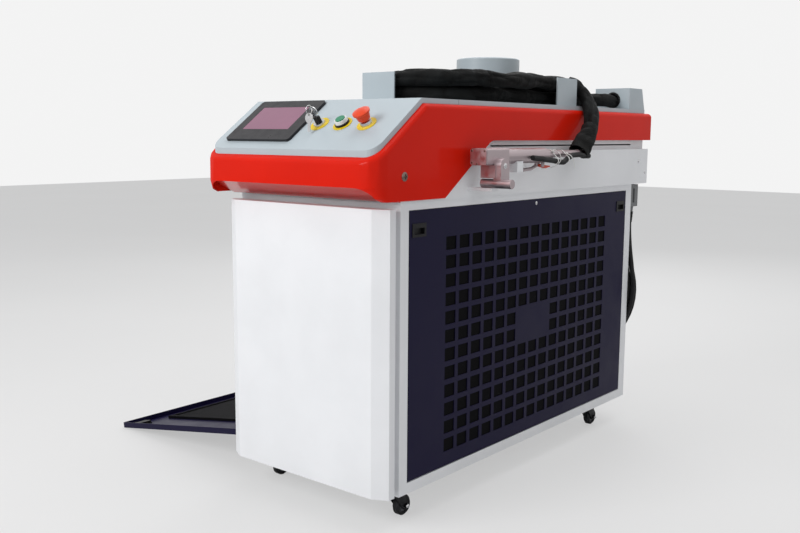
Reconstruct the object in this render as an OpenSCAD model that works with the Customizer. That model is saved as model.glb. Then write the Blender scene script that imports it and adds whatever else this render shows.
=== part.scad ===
// Laser cleaning machine in one cabinet: a chiller cabinet on swivel casters, with the laser
// box, hood and console on top, a coiled umbilical on the deck and a hand gun in its rest.
// The origin is the middle of the cabinet's base underside. +X is the side with the closed
// grille, -Y is the front with the console, +Z is up. The floor is ground_gap below.

/* [Cabinet] */
// Width of the cabinet, side to side
cab_w = 540; // [500:1:600]
// Length of the cabinet, front to back
cab_l = 1168; // [1120:1:1300]
// Height of the cabinet body
cab_h = 700; // [660:1:760]
// Thickness of the cabinet's folded sheet
sheet = 2; // [1.5:0.1:3]
// Height of the base underside above the floor
ground_gap = 80; // [74:1:100]
// Height of the bottom rail below the side panels
rail_bottom = 27; // [22:1:32]
// Height of the top rail above the side panels
rail_top = 20; // [16:1:30]
// Width of the front corner posts
post_front = 30; // [26:1:40]
// Width of the rear corner posts
post_rear = 37; // [30:1:45]
// Depth of the posts' returns behind the side openings
post_return = 24; // [20:1:30]

/* [Front panel] */
// Depth of the whole front panel ahead of its back edge
nose_depth = 40.7; // [35:0.1:60]
// Shadow gap between the front panel and the cabinet
nose_gap = 16; // [10:1:25]
// Width of each bevelled wing
wing_w = 38; // [25:1:60]
// Depth of each bevelled wing
wing_d = 20.2; // [12:0.1:30]
// Height of the front panel's bottom edge
nose_bottom = 3; // [2:1:20]
// Gap between the front panel's top edge and the cabinet top
nose_top_gap = 15; // [10:1:30]

/* [Side panels] */
// Columns of grille holes
grille_cols = 15; // [9:2:17]
// Rows of grille holes
grille_rows = 12; // [8:2:13]
// Width of a grille hole
hole_w = 42; // [30:1:46]
// Height of a grille hole
hole_h = 33; // [24:1:38]
// Hole pitch along the panel
hole_pitch_y = 55.5; // [50:0.5:60]
// Hole pitch up the panel
hole_pitch_z = 46.3; // [42:0.1:48]
// Depth of the panel's turned edges
panel_flange = 17; // [15:1:20]
// Gap between a panel and the opening round it
panel_gap = 1.5; // [1:0.1:3]

/* [Top] */
// Height of the laser box walls up to the shoulder
box_wall_h = 111; // [90:1:130]
// How far the laser box stands out past each cabinet side
box_over_side = 13; // [8:1:15]
// How far the laser box stands out behind the cabinet
box_over_rear = 82; // [70:1:100]
// Height of the deck's top face above the cabinet top
deck_rise = 236; // [220:1:250]
// Thickness of the deck and console plates
plate_t = 12; // [8:1:15]
// Half width of the deck and console plates
plate_hw = 276; // [271:0.1:278]
// Wall of the hood
hood_wall = 3; // [2:0.5:5]
// Half width of the hood
hood_hw = 290; // [287:1:292]
// Height of the console's front edge above the cabinet top
console_front_rise = 117; // [110:1:130]
// Plan length of the sloping console
console_run = 164; // [150:1:175]

/* [Umbilical and cable] */
// Diameter of the sleeved umbilical
sleeve_d = 40; // [34:1:40]
// Half width of the coil's widest turn on the deck
coil_r = 245; // [240:1:246]
// Turns in the umbilical coil
coil_turns = 5.75; // [3.75:1:5.75]
// Diameter of the mains cable
cable_d = 14; // [10:0.5:14]
// Radius of the hanging mains cable coil
cable_coil_r = 217; // [200:1:220]
// Turns in the hanging mains cable coil
cable_turns = 4.125; // [2.125:1:4.125]

/* [Controls] */
// Width of the touch screen bezel
screen_w = 226.5; // [180:0.5:230]
// Height of the touch screen bezel along the slope
screen_h = 163; // [120:1:165]
// Diameter of the stop button's mushroom head
stop_d = 42; // [32:1:44]
// Diameter of the yellow legend rings
ring_d = 49; // [46:1:60]

/* [Casters] */
// Diameter of the caster wheels
wheel_d = 52; // [46:1:52]
// Width of the caster wheels
wheel_w = 22; // [18:1:24]
// Trail from the swivel axis to the wheel axle
trail = 22; // [16:1:24]

/* [Hand gun] */
// Diameter of the gun's barrel
barrel_d = 38; // [34:1:38]
// Width of the gun's head block
head_w = 48; // [40:1:50]
// Height of the gun's head block
head_h = 40; // [38:1:42]
// Length of the gun's head block
head_l = 98; // [90:1:110]

/* [Hidden] */
$fn = 48;

// Colours
white_paint = [0.93, 0.92, 0.92];
red_paint = [0.80, 0.07, 0.04];
plate_grey = [0.67, 0.73, 0.76];
navy = [0.09, 0.07, 0.20];
black = [0.06, 0.06, 0.065];
steel = [0.74, 0.74, 0.76];

// Clearances and overruns
cut_over = 1;
seat_fit = 0.2;
run_fit = 0.1;
rest_fit = 0.3;

// Levels and main planes
half_w = cab_w / 2;
half_l = cab_l / 2;
deck_z = cab_h + deck_rise;
floor_z = -ground_gap;

// Side openings and the swing of the panels
open_y0 = -half_l + post_front;
open_y1 = half_l - post_rear;
panel_y0 = open_y0 + panel_gap;
panel_y1 = open_y1 - panel_gap;
panel_lift = 1;
panel_z0 = rail_bottom + panel_gap + panel_lift;
panel_z1 = cab_h - rail_top - panel_gap;
pivot_inset = 8;
pivot_rise = 10;
pivot_d = 6;
pivot_x = half_w - pivot_inset;
pivot_z = rail_bottom + pivot_rise;
pivot_len = 8;
floor_clear = 0.5;
panel_reach = norm([panel_z1 - pivot_z, pivot_inset]);
panel_tilt = asin((pivot_z + ground_gap - floor_clear) / panel_reach)
  - atan(pivot_inset / (panel_z1 - pivot_z));
panel_swing = 90 + panel_tilt;

// Console slope
console_front_z = cab_h + console_front_rise;
console_rise = deck_z - console_front_z;
slope = atan(console_rise / console_run);
slope_len = norm([console_run, console_rise]);
console_over_front = 98;
console_front_y = -half_l - console_over_front;
bend_y = console_front_y + console_run;
seam_inset = 209;
seam_y = -half_l + seam_inset;
deck_over_rear = 71;
deck_rear_y = half_l + deck_over_rear;

// A ring of points on an arc, for outlines
function arc_pts(cx, cy, r, a0, a1, n = 6) =
  [for (i = [0:n]) [cx + r * cos(a0 + (a1 - a0) * i / n), cy + r * sin(a0 + (a1 - a0) * i / n)]];

// An outline with four rounded corners, from its low and high corners
function round_rect(x0, y0, x1, y1, r) = concat(
  arc_pts(x1 - r, y0 + r, r, -90, 0), arc_pts(x1 - r, y1 - r, r, 0, 90),
  arc_pts(x0 + r, y1 - r, r, 90, 180), arc_pts(x0 + r, y0 + r, r, 180, 270));

// A box from its low corner to its high corner
module span(low, high) {
  translate(low)
    cube(high - low);
}

// A cylinder from a point along one axis
module rod_x(p, d, l) {
  translate(p)
    rotate([0, 90, 0])
      cylinder(d = d, h = l);
}

module rod_y(p, d, l) {
  translate(p)
    rotate([-90, 0, 0])
      cylinder(d = d, h = l);
}

// A side outline, given as [y, z] points, extruded from x0 to x1
module side_extrude(x0, x1) {
  translate([x0, 0, 0])
    rotate([90, 0, 90])
      linear_extrude(x1 - x0)
        children();
}

// A front outline, given as [x, z] points, extruded from y0 to y1
module front_extrude(y0, y1) {
  translate([0, y1, 0])
    rotate([90, 0, 0])
      linear_extrude(y1 - y0)
        children();
}

// Children placed on the sloping console, x across and t up the slope from its front edge
module on_console(x, t) {
  translate([x, console_front_y + t * cos(slope), console_front_z + t * sin(slope)])
    rotate([slope, 0, 0])
      children();
}

// One unbroken tube through the given points, turned square to a reference direction
function unit(v) = v / norm(v);
function way(pts, i) =
  unit(pts[min(i + 1, len(pts) - 1)] - pts[max(i - 1, 0)]);
function tube_ring(p, t, ref, r, sides, turn) =
  let (side = unit(cross(ref, t)), up = cross(t, side))
  [for (k = [0:sides - 1]) let (a = turn + 360 * k / sides) p + r * (cos(a) * side + sin(a) * up)];

module tube_through(pts, r, sides, ref, t0 = undef, t1 = undef, turn = 0) {
  last = len(pts) - 1;
  rings = [for (i = [0:last])
    tube_ring(pts[i], unit(i == 0 && !is_undef(t0) ? t0 : i == last && !is_undef(t1) ? t1
      : way(pts, i)), ref, r, sides, turn)];
  points = [for (ring = rings) each ring];
  walls = [for (i = [0:last - 1], k = [0:sides - 1])
    let (a = i * sides + k, b = i * sides + (k + 1) % sides)
    each [[a, a + sides, b], [b, a + sides, b + sides]]];
  cap0 = [for (k = [1:sides - 2]) [0, k, k + 1]];
  cap1 = [for (k = [1:sides - 2]) [last * sides, last * sides + k + 1, last * sides + k]];
  polyhedron(points, concat(walls, cap0, cap1), convexity = 10);
}

// Least gap of a wound tube to its own turns, measured on its centre points
function self_gap(pts, d, skip) =
  min([for (i = [0:len(pts) - 1], j = [0:len(pts) - 1]) if (j - i >= skip) norm(pts[i] - pts[j])]) - d;

// Route length along points
function run_of(pts) = len(pts) < 2 ? 0 : [for (i = [1:len(pts) - 1]) norm(pts[i] - pts[i - 1])]
  * [for (i = [1:len(pts) - 1]) 1];

// Cabinet shell

// Casters stand on these points of the base
caster_inset_x = 55;
caster_inset_front = 55;
caster_inset_rear = 146;
caster_front_y = -half_l + caster_inset_front;
caster_rear_y = half_l - caster_inset_rear;
caster_x = half_w - caster_inset_x;
caster_spots = [
  [-caster_x, caster_front_y], [caster_x, caster_front_y],
  [-caster_x, caster_rear_y], [caster_x, caster_rear_y]];
pad_w = 60;
pad_t = 4;
race_d = 44;
race_h = 9;
kingpin_d = 10;
tie_hole_d = 11;
tie_x = 220;
tie_y = 150;

module caster_pad() {
  difference() {
    union() {
      span([-pad_w / 2, -pad_w / 2, -pad_t], [pad_w / 2, pad_w / 2, 0]);
      translate([0, 0, -pad_t - race_h])
        cylinder(d = race_d, h = race_h);
    }
    translate([0, 0, -pad_t - race_h - cut_over])
      cylinder(d = kingpin_d + 2 * run_fit, h = race_h + cut_over);
  }
}

module base_tray() {
  color(white_paint)
    union() {
      difference() {
        span([-half_w, -half_l, 0], [half_w, half_l, rail_bottom]);
        span([-half_w + sheet, -half_l + sheet, sheet],
          [half_w - sheet, half_l - sheet, rail_bottom + cut_over]);
        for (x = [-tie_x, tie_x], y = [-tie_y, tie_y])
          translate([x, y, -cut_over])
            cylinder(d = tie_hole_d, h = sheet + 2 * cut_over);
      }
      for (p = caster_spots)
        translate([p[0], p[1], 0])
          caster_pad();
    }
}

// Folded end wall in plan: a plate, two corner posts and their returns
module end_wall_plan(post) {
  square_from(-half_w, 0, half_w, sheet);
  for (s = [-1, 1]) {
    square_from(s > 0 ? half_w - sheet : -half_w, 0, s > 0 ? half_w : -half_w + sheet, post);
    square_from(s > 0 ? half_w - post_return : -half_w, post - sheet,
      s > 0 ? half_w : -half_w + post_return, post);
  }
}

module square_from(x0, y0, x1, y1) {
  translate([x0, y0])
    square([x1 - x0, y1 - y0]);
}

hat_x = 235;
hat_w = 30;

module front_bulkhead() {
  color(white_paint)
    union() {
      translate([0, -half_l, rail_bottom])
        linear_extrude(cab_h - rail_top - rail_bottom)
          end_wall_plan(post_front);
      translate([0, -half_l - nose_gap, rail_bottom])
        linear_extrude(cab_h - rail_top - rail_bottom)
          for (s = [-1, 1])
            difference() {
              square_from(s * hat_x - hat_w / 2, 0, s * hat_x + hat_w / 2, nose_gap);
              square_from(s * hat_x - hat_w / 2 + sheet, sheet,
                s * hat_x + hat_w / 2 - sheet, nose_gap);
            }
      for (s = [-1, 1])
        rod_y([s * pivot_x, open_y0 - sheet, pivot_z], pivot_d, sheet + pivot_len);
    }
}

vent_count = 14;
vent_w = 10;
vent_h = 46;
vent_pitch = 28;
vent_top_gap = 42;
vent_z = cab_h - vent_top_gap - vent_h;
vent_x0 = -225;
filler_inset = 65;
filler_x = -half_w + filler_inset;
filler_low = 200;
filler_z = cab_h - filler_low;
filler_hole_d = 46;

module rear_bulkhead() {
  color(white_paint)
    union() {
      difference() {
        translate([0, half_l, rail_bottom])
          mirror([0, 1, 0])
            linear_extrude(cab_h - rail_top - rail_bottom)
              end_wall_plan(post_rear);
        for (i = [0:vent_count - 1])
          span([vent_x0 + i * vent_pitch, half_l - sheet - cut_over, vent_z],
            [vent_x0 + i * vent_pitch + vent_w, half_l + cut_over, vent_z + vent_h]);
        rod_y([filler_x, half_l - sheet - cut_over, filler_z], filler_hole_d, sheet + 2 * cut_over);
      }
      for (s = [-1, 1])
        rod_y([s * pivot_x, open_y1 - pivot_len, pivot_z], pivot_d, pivot_len + sheet);
    }
}

module top_tray() {
  color(white_paint)
    difference() {
      span([-half_w, -half_l, cab_h - rail_top], [half_w, half_l, cab_h]);
      span([-half_w + sheet, -half_l + sheet, cab_h - rail_top - cut_over],
        [half_w - sheet, half_l - sheet, cab_h - sheet]);
    }
}

// Front panel: flat face, two bevelled wings, side edges and returns, closed top and bottom
nose_back_y = -half_l - nose_gap;
nose_front_y = nose_back_y - nose_depth;
nose_top = cab_h - nose_top_gap;
nose_return = 38;
wing_a = atan(wing_d / wing_w);
function nose_plan(i) = [
  [-half_w + i, nose_back_y + (i > 0 ? cut_over : 0)],
  [-half_w + i, nose_front_y + wing_d + i * tan((90 - wing_a) / 2)],
  [-half_w + wing_w + i * tan(wing_a / 2), nose_front_y + i],
  [half_w - wing_w - i * tan(wing_a / 2), nose_front_y + i],
  [half_w - i, nose_front_y + wing_d + i * tan((90 - wing_a) / 2)],
  [half_w - i, nose_back_y + (i > 0 ? cut_over : 0)]];

module front_panel() {
  color(white_paint)
    union() {
      difference() {
        translate([0, 0, nose_bottom])
          linear_extrude(nose_top - nose_bottom)
            polygon(nose_plan(0));
        translate([0, 0, nose_bottom + sheet])
          linear_extrude(nose_top - nose_bottom - 2 * sheet)
            polygon(nose_plan(sheet));
      }
      for (s = [-1, 1])
        span([s > 0 ? half_w - nose_return : -half_w + sheet, nose_back_y - sheet, nose_bottom + sheet],
          [s > 0 ? half_w - sheet : -half_w + nose_return, nose_back_y, nose_top - sheet]);
    }
}

// Laser box under the hood
box_hw = half_w + box_over_side;
box_rear = half_l + box_over_rear;
box_over_front = 92;
box_front = -half_l - box_over_front;
soffit_rise = 35;
box_soffit_z = cab_h + soffit_rise;
box_foot_y = -half_l - nose_gap;
shoulder_z = cab_h + box_wall_h;
riser_hw = half_w + sheet;
riser_inset = 104;
riser_over_rear = 63;
riser_y0 = -half_l + riser_inset;
riser_y1 = half_l + riser_over_rear;
riser_fit = 1.2;
riser_top = deck_z - plate_t - seat_fit - hood_wall - riser_fit;
box_corner_r = 40;
brow_y = 24;
brow_z = 20;
slot_inset_front = 354;
slot_inset_rear = 22;
slot_y0 = -half_l + slot_inset_front;
slot_y1 = half_l - slot_inset_rear;
slot_rise = 12;
slot_z = shoulder_z + slot_rise;
slot_h = 4;

// Outer or inner form of the laser box, w in from its faces
module laser_box_form(w) {
  intersection() {
    side_extrude(-box_hw + w, box_hw - w)
      polygon([[box_foot_y, cab_h + w], [box_rear - w, cab_h + w], [box_rear - w, shoulder_z - w],
        [box_front + brow_y, shoulder_z - w], [box_front + w, shoulder_z - brow_z],
        [box_front + w, box_soffit_z + w]]);
    translate([0, 0, cab_h])
      linear_extrude(box_wall_h)
        polygon(concat([[box_hw - w, box_rear - w], [-box_hw + w, box_rear - w]],
          arc_pts(-box_hw + box_corner_r, box_front + box_corner_r, box_corner_r - w, 180, 270),
          arc_pts(box_hw - box_corner_r, box_front + box_corner_r, box_corner_r - w, 270, 360)));
  }
}

module laser_box() {
  color(white_paint)
    difference() {
      union() {
        laser_box_form(0);
        span([-riser_hw, riser_y0, shoulder_z], [riser_hw, riser_y1, riser_top]);
      }
      laser_box_form(sheet);
      span([-riser_hw + sheet, riser_y0 + sheet, shoulder_z - sheet - cut_over],
        [riser_hw - sheet, riser_y1 - sheet, riser_top + cut_over]);
      for (s = [-1, 1])
        span([s * riser_hw - sheet - cut_over, slot_y0, slot_z],
          [s * riser_hw + sheet + cut_over, slot_y1, slot_z + slot_h]);
    }
}

source_w = 420;
source_y0 = -120;
source_y1 = 460;
source_h = 92;
source_rib_w = 3;
source_rib_pitch = 14;
source_rib_count = floor((source_w - source_rib_w - source_rib_pitch / 2) / source_rib_pitch);
source_rib_h = 14;
fibre_boot_d = 24;
fibre_boot_l = 46;

module laser_source() {
  base_z = cab_h + sheet;
  color(steel)
    union() {
      span([-source_w / 2, source_y0, base_z], [source_w / 2, source_y1, base_z + source_h - source_rib_h]);
      for (i = [0:source_rib_count - 1])
        span([-source_w / 2 + i * source_rib_pitch + source_rib_pitch / 2, source_y0,
            base_z + source_h - source_rib_h],
          [-source_w / 2 + i * source_rib_pitch + source_rib_pitch / 2 + source_rib_w, source_y1,
            base_z + source_h]);
      rod_y([0, source_y0 - fibre_boot_l, base_z + source_h / 3], fibre_boot_d, fibre_boot_l);
    }
}

// Hood
hood_over_front = 112;
hood_over_rear = 94;
hood_front_y = -half_l - hood_over_front;
hood_rear_y = half_l + hood_over_rear;
skirt_rise = 4;
hood_skirt_z = cab_h + skirt_rise;
hood_soffit_z = cab_h + soffit_rise;
hood_rear_rise = 139;
hood_rear_z = cab_h + hood_rear_rise;
hood_top_z = deck_z - plate_t - seat_fit;
rim_r = 14;
corner_r = 45;
diag_foot_inset = 142;
diag_head_inset = 334;
diag_foot_y = -half_l + diag_foot_inset;
diag_head_y = -half_l + diag_head_inset;
diag_r = 40;
diag_a = atan((hood_rear_z - hood_skirt_z) / (diag_head_y - diag_foot_y));
arch_flat_x = 225;
arch_end_x = 276;
chin_steps = [[0, 14, 38], [8, 30, 15]];
// Height of a plane parallel to the console's top face, d below it
function slope_z(y, d) = console_front_z + (y - console_front_y) * tan(slope) - d / cos(slope);

rim_under = plate_t + seat_fit + rim_r;
rim_bend_y = console_front_y
  + (hood_top_z - rim_r - slope_z(console_front_y, rim_under)) / tan(slope);

module rim_ball(x, y, z, w) {
  translate([x, y, z])
    sphere(r = rim_r - w, $fn = 24);
}

module hood_form(w) {
  low = w > 0 ? cut_over : 0;
  hull() {
    for (s = [-1, 1]) {
      for (a = [0:30:90])
        rim_ball(s * (hood_hw - corner_r + (corner_r - rim_r) * sin(a)),
          hood_front_y + corner_r - (corner_r - rim_r) * cos(a),
          slope_z(hood_front_y + corner_r - (corner_r - rim_r) * cos(a), rim_under), w);
      rim_ball(s * (hood_hw - rim_r), rim_bend_y, hood_top_z - rim_r, w);
      rim_ball(s * (hood_hw - rim_r), hood_rear_y - rim_r, hood_top_z - rim_r, w);
      translate([s * (hood_hw - rim_r), hood_rear_y - rim_r, hood_skirt_z - low])
        cylinder(r = rim_r - w, h = sheet, $fn = 24);
      for (c = chin_steps)
        translate([s * (hood_hw - c[1]), hood_front_y + c[1] + c[2], hood_skirt_z + c[0] - low])
          cylinder(r = c[1] - w, h = sheet, $fn = 32);
      translate([s * (hood_hw - corner_r), hood_front_y + corner_r, hood_soffit_z - low])
        cylinder(r = corner_r - w, h = sheet, $fn = 48);
    }
  }
}

screen_x = -126.6;
screen_t = 109.6;
screen_body_w = 208;
screen_body_h = 146;
screen_body_l = 28;
screen_rise = 7;
window_x = 252;
window_t0 = 20;
window_clear = 7;
window_t1 = screen_t + screen_body_h / 2 + window_clear;
window_depth = 40;

module hood() {
  low = hood_skirt_z - corner_r;
  tangent = diag_r * tan(diag_a / 2);
  color(red_paint)
    difference() {
      hood_form(0);
      hood_form(hood_wall);
      side_extrude(-hood_hw - cut_over, hood_hw + cut_over)
        polygon(concat([[diag_foot_y, low], [diag_foot_y, hood_skirt_z]],
          arc_pts(diag_head_y + tangent, hood_rear_z - diag_r, diag_r, 90 + diag_a, 90, 5),
          [[hood_rear_y + cut_over, hood_rear_z], [hood_rear_y + cut_over, low]]));
      front_extrude(hood_front_y - cut_over, hood_front_y + corner_r + corner_r)
        polygon(concat([[-arch_end_x, low]],
          [for (a = [90:-15:0]) [-arch_flat_x - (arch_end_x - arch_flat_x) * sin(a),
            hood_skirt_z + (hood_soffit_z - hood_skirt_z) * cos(a)]],
          [for (a = [0:15:90]) [arch_flat_x + (arch_end_x - arch_flat_x) * sin(a),
            hood_skirt_z + (hood_soffit_z - hood_skirt_z) * cos(a)]],
          [[arch_end_x, low]]));
      on_console(0, 0)
        span([-window_x, window_t0, -window_depth], [window_x, window_t1, cut_over]);
    }
}

// Console controls, placed by x across and t up the slope
control_t = 99.5;
key_x = 33.4;
start_x = 107.6;
stop_x = 182.7;
control_hole_d = 22.4;
control_r_body = 11;
control_body_l = 46;
front_round = 30;

// Outer or inner form of the folded console plate, w in from its faces and open below
module console_form(w) {
  under = w > 0 ? cut_over : 0;
  round_x = plate_hw - front_round;
  round_y = console_front_y + front_round;
  intersection() {
    side_extrude(-plate_hw - cut_over, plate_hw + cut_over)
      polygon([[console_front_y, slope_z(console_front_y, w)], [bend_y + w * tan(slope / 2), deck_z - w],
        [seam_y, deck_z - w], [seam_y, deck_z - plate_t - under],
        [bend_y + (plate_t + under) * tan(slope / 2), deck_z - plate_t - under],
        [console_front_y, slope_z(console_front_y, plate_t + under)]]);
    translate([0, 0, cab_h])
      linear_extrude(deck_rise + cut_over)
        polygon(concat([[-plate_hw + w, seam_y - seat_fit - w]],
          arc_pts(-round_x, round_y, front_round - w, 180, 270),
          arc_pts(round_x, round_y, front_round - w, 270, 360),
          [[plate_hw - w, seam_y - seat_fit - w]]));
  }
}

module console_plate() {
  color(plate_grey)
    difference() {
      console_form(0);
      console_form(sheet);
      for (x = [key_x, start_x, stop_x])
        on_console(x, control_t)
          translate([0, 0, -plate_t - cut_over])
            cylinder(d = control_hole_d, h = plate_t + 2 * cut_over);
      on_console(screen_x, screen_t)
        span([-screen_body_w / 2 - seat_fit, -screen_body_h / 2 - seat_fit, -plate_t - cut_over],
          [screen_body_w / 2 + seat_fit, screen_body_h / 2 + seat_fit, cut_over]);
    }
}

deck_round = 14;

module deck_form(w) {
  under = w > 0 ? cut_over : 0;
  translate([0, 0, deck_z - plate_t - under])
    linear_extrude(plate_t + under - w)
      polygon(concat([[plate_hw - w, seam_y + w]],
        arc_pts(plate_hw - deck_round, deck_rear_y - deck_round, deck_round - w, 0, 90),
        arc_pts(-plate_hw + deck_round, deck_rear_y - deck_round, deck_round - w, 90, 180),
        [[-plate_hw + w, seam_y + w]]));
}

module deck_plate() {
  color(plate_grey)
    difference() {
      deck_form(0);
      deck_form(sheet);
    }
}

// Drum in the middle of the coil
hub_y = 150;
hub_r = 93.5;
hub_h = 140;
hub_round = 5;
hub_wall = 4;

module coil_hub() {
  color(plate_grey)
    translate([0, hub_y, deck_z])
      rotate_extrude($fn = 96)
        polygon(concat([[0, hub_h - hub_wall], [hub_r - hub_wall, hub_h - hub_wall],
            [hub_r - hub_wall, 0], [hub_r, 0]],
          arc_pts(hub_r - hub_round, hub_h - hub_round, hub_round, 0, 90), [[0, hub_h]]));
}

// Upright plates that keep the coil on the deck
post_w = 108;
post_h = 76;
post_t = 4;
post_front_y = -350;
post_rear_y = 457;
post_side_x = 268;

module coil_posts() {
  color(plate_grey)
    union() {
      for (y = [post_front_y, post_rear_y])
        span([-post_w / 2, y - post_t / 2, deck_z], [post_w / 2, y + post_t / 2, deck_z + post_h]);
      for (s = [-1, 1])
        span([s > 0 ? post_side_x : -post_side_x - post_t, hub_y - post_w / 2, deck_z],
          [s > 0 ? post_side_x + post_t : -post_side_x, hub_y + post_w / 2, deck_z + post_h]);
    }
}

// Box where the umbilical comes out
outlet_x0 = 154;
outlet_x1 = 272;
outlet_y0 = 540;
outlet_y1 = 650;
outlet_top_y = 629;
outlet_h = 65;
outlet_wall = 3;
outlet_x = 216;
outlet_rise = 28;
outlet_hole_d = 43;
grommet_d = 50;
grommet_t = 3;
sleeve_fit = 0.4;

module outlet_side(i) {
  polygon([[outlet_y0 + i, deck_z - (i > 0 ? cut_over : 0)], [outlet_y1 - i, deck_z - (i > 0 ? cut_over : 0)],
    [outlet_top_y - i, deck_z + outlet_h - i], [outlet_y0 + i, deck_z + outlet_h - i]]);
}

module hose_box() {
  color(plate_grey)
    difference() {
      side_extrude(outlet_x0, outlet_x1)
        outlet_side(0);
      side_extrude(outlet_x0 + outlet_wall, outlet_x1 - outlet_wall)
        outlet_side(outlet_wall);
      rod_y([outlet_x, outlet_y0 - cut_over, deck_z + outlet_rise], outlet_hole_d,
        outlet_wall + 2 * cut_over);
    }
}

module hose_grommet() {
  color(black)
    translate([outlet_x, outlet_y0, deck_z + outlet_rise])
      rotate([-90, 0, 0])
        difference() {
          union() {
            translate([0, 0, -grommet_t])
              cylinder(d = grommet_d, h = grommet_t);
            cylinder(d = outlet_hole_d - seat_fit, h = outlet_wall + grommet_t);
          }
          translate([0, 0, -grommet_t - cut_over])
            cylinder(d = sleeve_d + 2 * sleeve_fit, h = outlet_wall + 2 * grommet_t + 2 * cut_over);
        }
}

// Console controls
screen_round = 8;
screen_view_w = 165;
screen_view_h = 94;
screen_view_dx = -3.5;
screen_view_dt = 7;
screen_recess = 1;

module touch_screen() {
  color(black)
    on_console(screen_x, screen_t)
      difference() {
        union() {
          linear_extrude(screen_rise)
            polygon(round_rect(-screen_w / 2, -screen_h / 2, screen_w / 2, screen_h / 2,
              screen_round));
          span([-screen_body_w / 2, -screen_body_h / 2, -screen_body_l],
            [screen_body_w / 2, screen_body_h / 2, 0]);
        }
        translate([screen_view_dx, screen_view_dt, screen_rise - screen_recess])
          linear_extrude(screen_recess + cut_over)
            square([screen_view_w, screen_view_h], center = true);
      }
}

ring_t = 1.6;

module control_rings() {
  color([0.95, 0.80, 0.05])
    for (x = [key_x, start_x, stop_x])
      on_console(x, control_t)
        difference() {
          cylinder(d = ring_d, h = ring_t);
          translate([0, 0, -cut_over])
            cylinder(d = control_hole_d, h = ring_t + 2 * cut_over);
        }
}

switch_body_d = 22;
collar_d = 30;
key_collar_h = 5;
stop_collar_h = 8;
core_d = 14;
core_l = 24;

module switch_collar(h) {
  difference() {
    union() {
      translate([0, 0, -control_body_l])
        cylinder(d = switch_body_d, h = control_body_l + ring_t + cut_over);
      translate([0, 0, ring_t])
        cylinder(d1 = collar_d, d2 = collar_d - h / 4, h = h);
    }
    translate([0, 0, -core_l])
      cylinder(d = core_d + 2 * run_fit, h = core_l + ring_t + h + cut_over);
  }
}

module switch_collars() {
  color(steel)
    union() {
      on_console(key_x, control_t)
        switch_collar(key_collar_h);
      on_console(stop_x, control_t)
        switch_collar(stop_collar_h);
    }
}

bow_d = 24;
bow_t = 2.2;
bow_rise = 38;
bow_hole_d = 6;
bow_hole_up = 7.5;
key_blade_w = 8;
key_bit_l = 24;
key_ring_r = 10;
key_wire_d = 1.6;
key_core_top = ring_t + key_collar_h - 1 * run_fit;
link_low = bow_rise + bow_hole_up;
link_high = bow_rise + bow_d / 2 + key_wire_d / 2 + rest_fit;
link_mid = (link_low + link_high) / 2;
link_out = sqrt(key_ring_r * key_ring_r - (link_high - link_low) * (link_high - link_low) / 4);

// One flat key head: round bow with its hole, in the XZ plane, hole above the middle
module key_bow() {
  rotate([90, 0, 0])
    translate([0, 0, -bow_t / 2])
      linear_extrude(bow_t)
        difference() {
          circle(d = bow_d);
          translate([0, bow_hole_up])
            circle(d = bow_hole_d);
        }
}

module key() {
  color(steel)
    union() {
      on_console(key_x, control_t) {
        translate([0, 0, -core_l + cut_over])
          cylinder(d = core_d, h = core_l - cut_over + key_core_top);
        span([-key_blade_w / 2, -bow_t / 2, key_core_top - cut_over],
          [key_blade_w / 2, bow_t / 2, bow_rise - bow_d / 3]);
        translate([0, 0, bow_rise])
          key_bow();
        translate([0, -link_out, link_mid])
          rotate([0, 90, 0])
            rotate_extrude($fn = 32)
              translate([key_ring_r, 0])
                circle(d = key_wire_d, $fn = 8);
      }
    }
}

// The spare hangs from the lowest point of the key ring
function on_slope(t, n) = [console_front_y + t * cos(slope) - n * sin(slope),
  console_front_z + t * sin(slope) + n * cos(slope)];
ring_mid = on_slope(control_t - link_out, link_mid);
spare_y = ring_mid[0];
spare_z = ring_mid[1] - key_ring_r;

module spare_key() {
  color(steel)
    translate([key_x, spare_y, spare_z - bow_hole_up - bow_hole_d / 2 + key_wire_d / 2 + rest_fit])
      union() {
        key_bow();
        span([-key_blade_w / 2, -bow_t / 2, -bow_d / 3 - key_bit_l],
          [key_blade_w / 2, bow_t / 2, -bow_d / 3]);
      }
}

start_bezel_d = 34;
start_bezel_h = 13;
start_cap_d = 24;
start_travel = 3;
start_stem_d = 12;
start_floor = 4;
start_proud = 2;

module start_bezel() {
  color(white_paint)
    on_console(start_x, control_t)
      difference() {
        union() {
          translate([0, 0, -control_body_l])
            cylinder(d = switch_body_d, h = control_body_l + ring_t + cut_over);
          translate([0, 0, ring_t])
            cylinder(d1 = start_bezel_d, d2 = start_bezel_d - start_floor, h = start_bezel_h);
        }
        translate([0, 0, ring_t + start_floor])
          cylinder(d = start_cap_d + 2 * run_fit, h = start_bezel_h);
        translate([0, 0, -core_l])
          cylinder(d = start_stem_d + 2 * run_fit, h = core_l + ring_t + start_floor + cut_over);
      }
}

module start_button() {
  low = ring_t + start_floor + start_travel + rest_fit;
  color([0.05, 0.55, 0.20])
    on_console(start_x, control_t)
      union() {
        translate([0, 0, low])
          cylinder(d = start_cap_d, h = ring_t + start_bezel_h + start_proud - low);
        translate([0, 0, -core_l + start_travel + start_floor])
          cylinder(d = start_stem_d, h = core_l + ring_t + start_travel);
      }
}

stop_travel = 5;
stop_top = 40;
stop_neck_r = 15;
stop_skirt_r = 18;
stop_rim_z = 31;
stop_lip = 2;
stop_dome = 5;
stop_dome_r = (stop_d * stop_d / 4 + stop_dome * stop_dome) / (2 * stop_dome);

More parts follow.
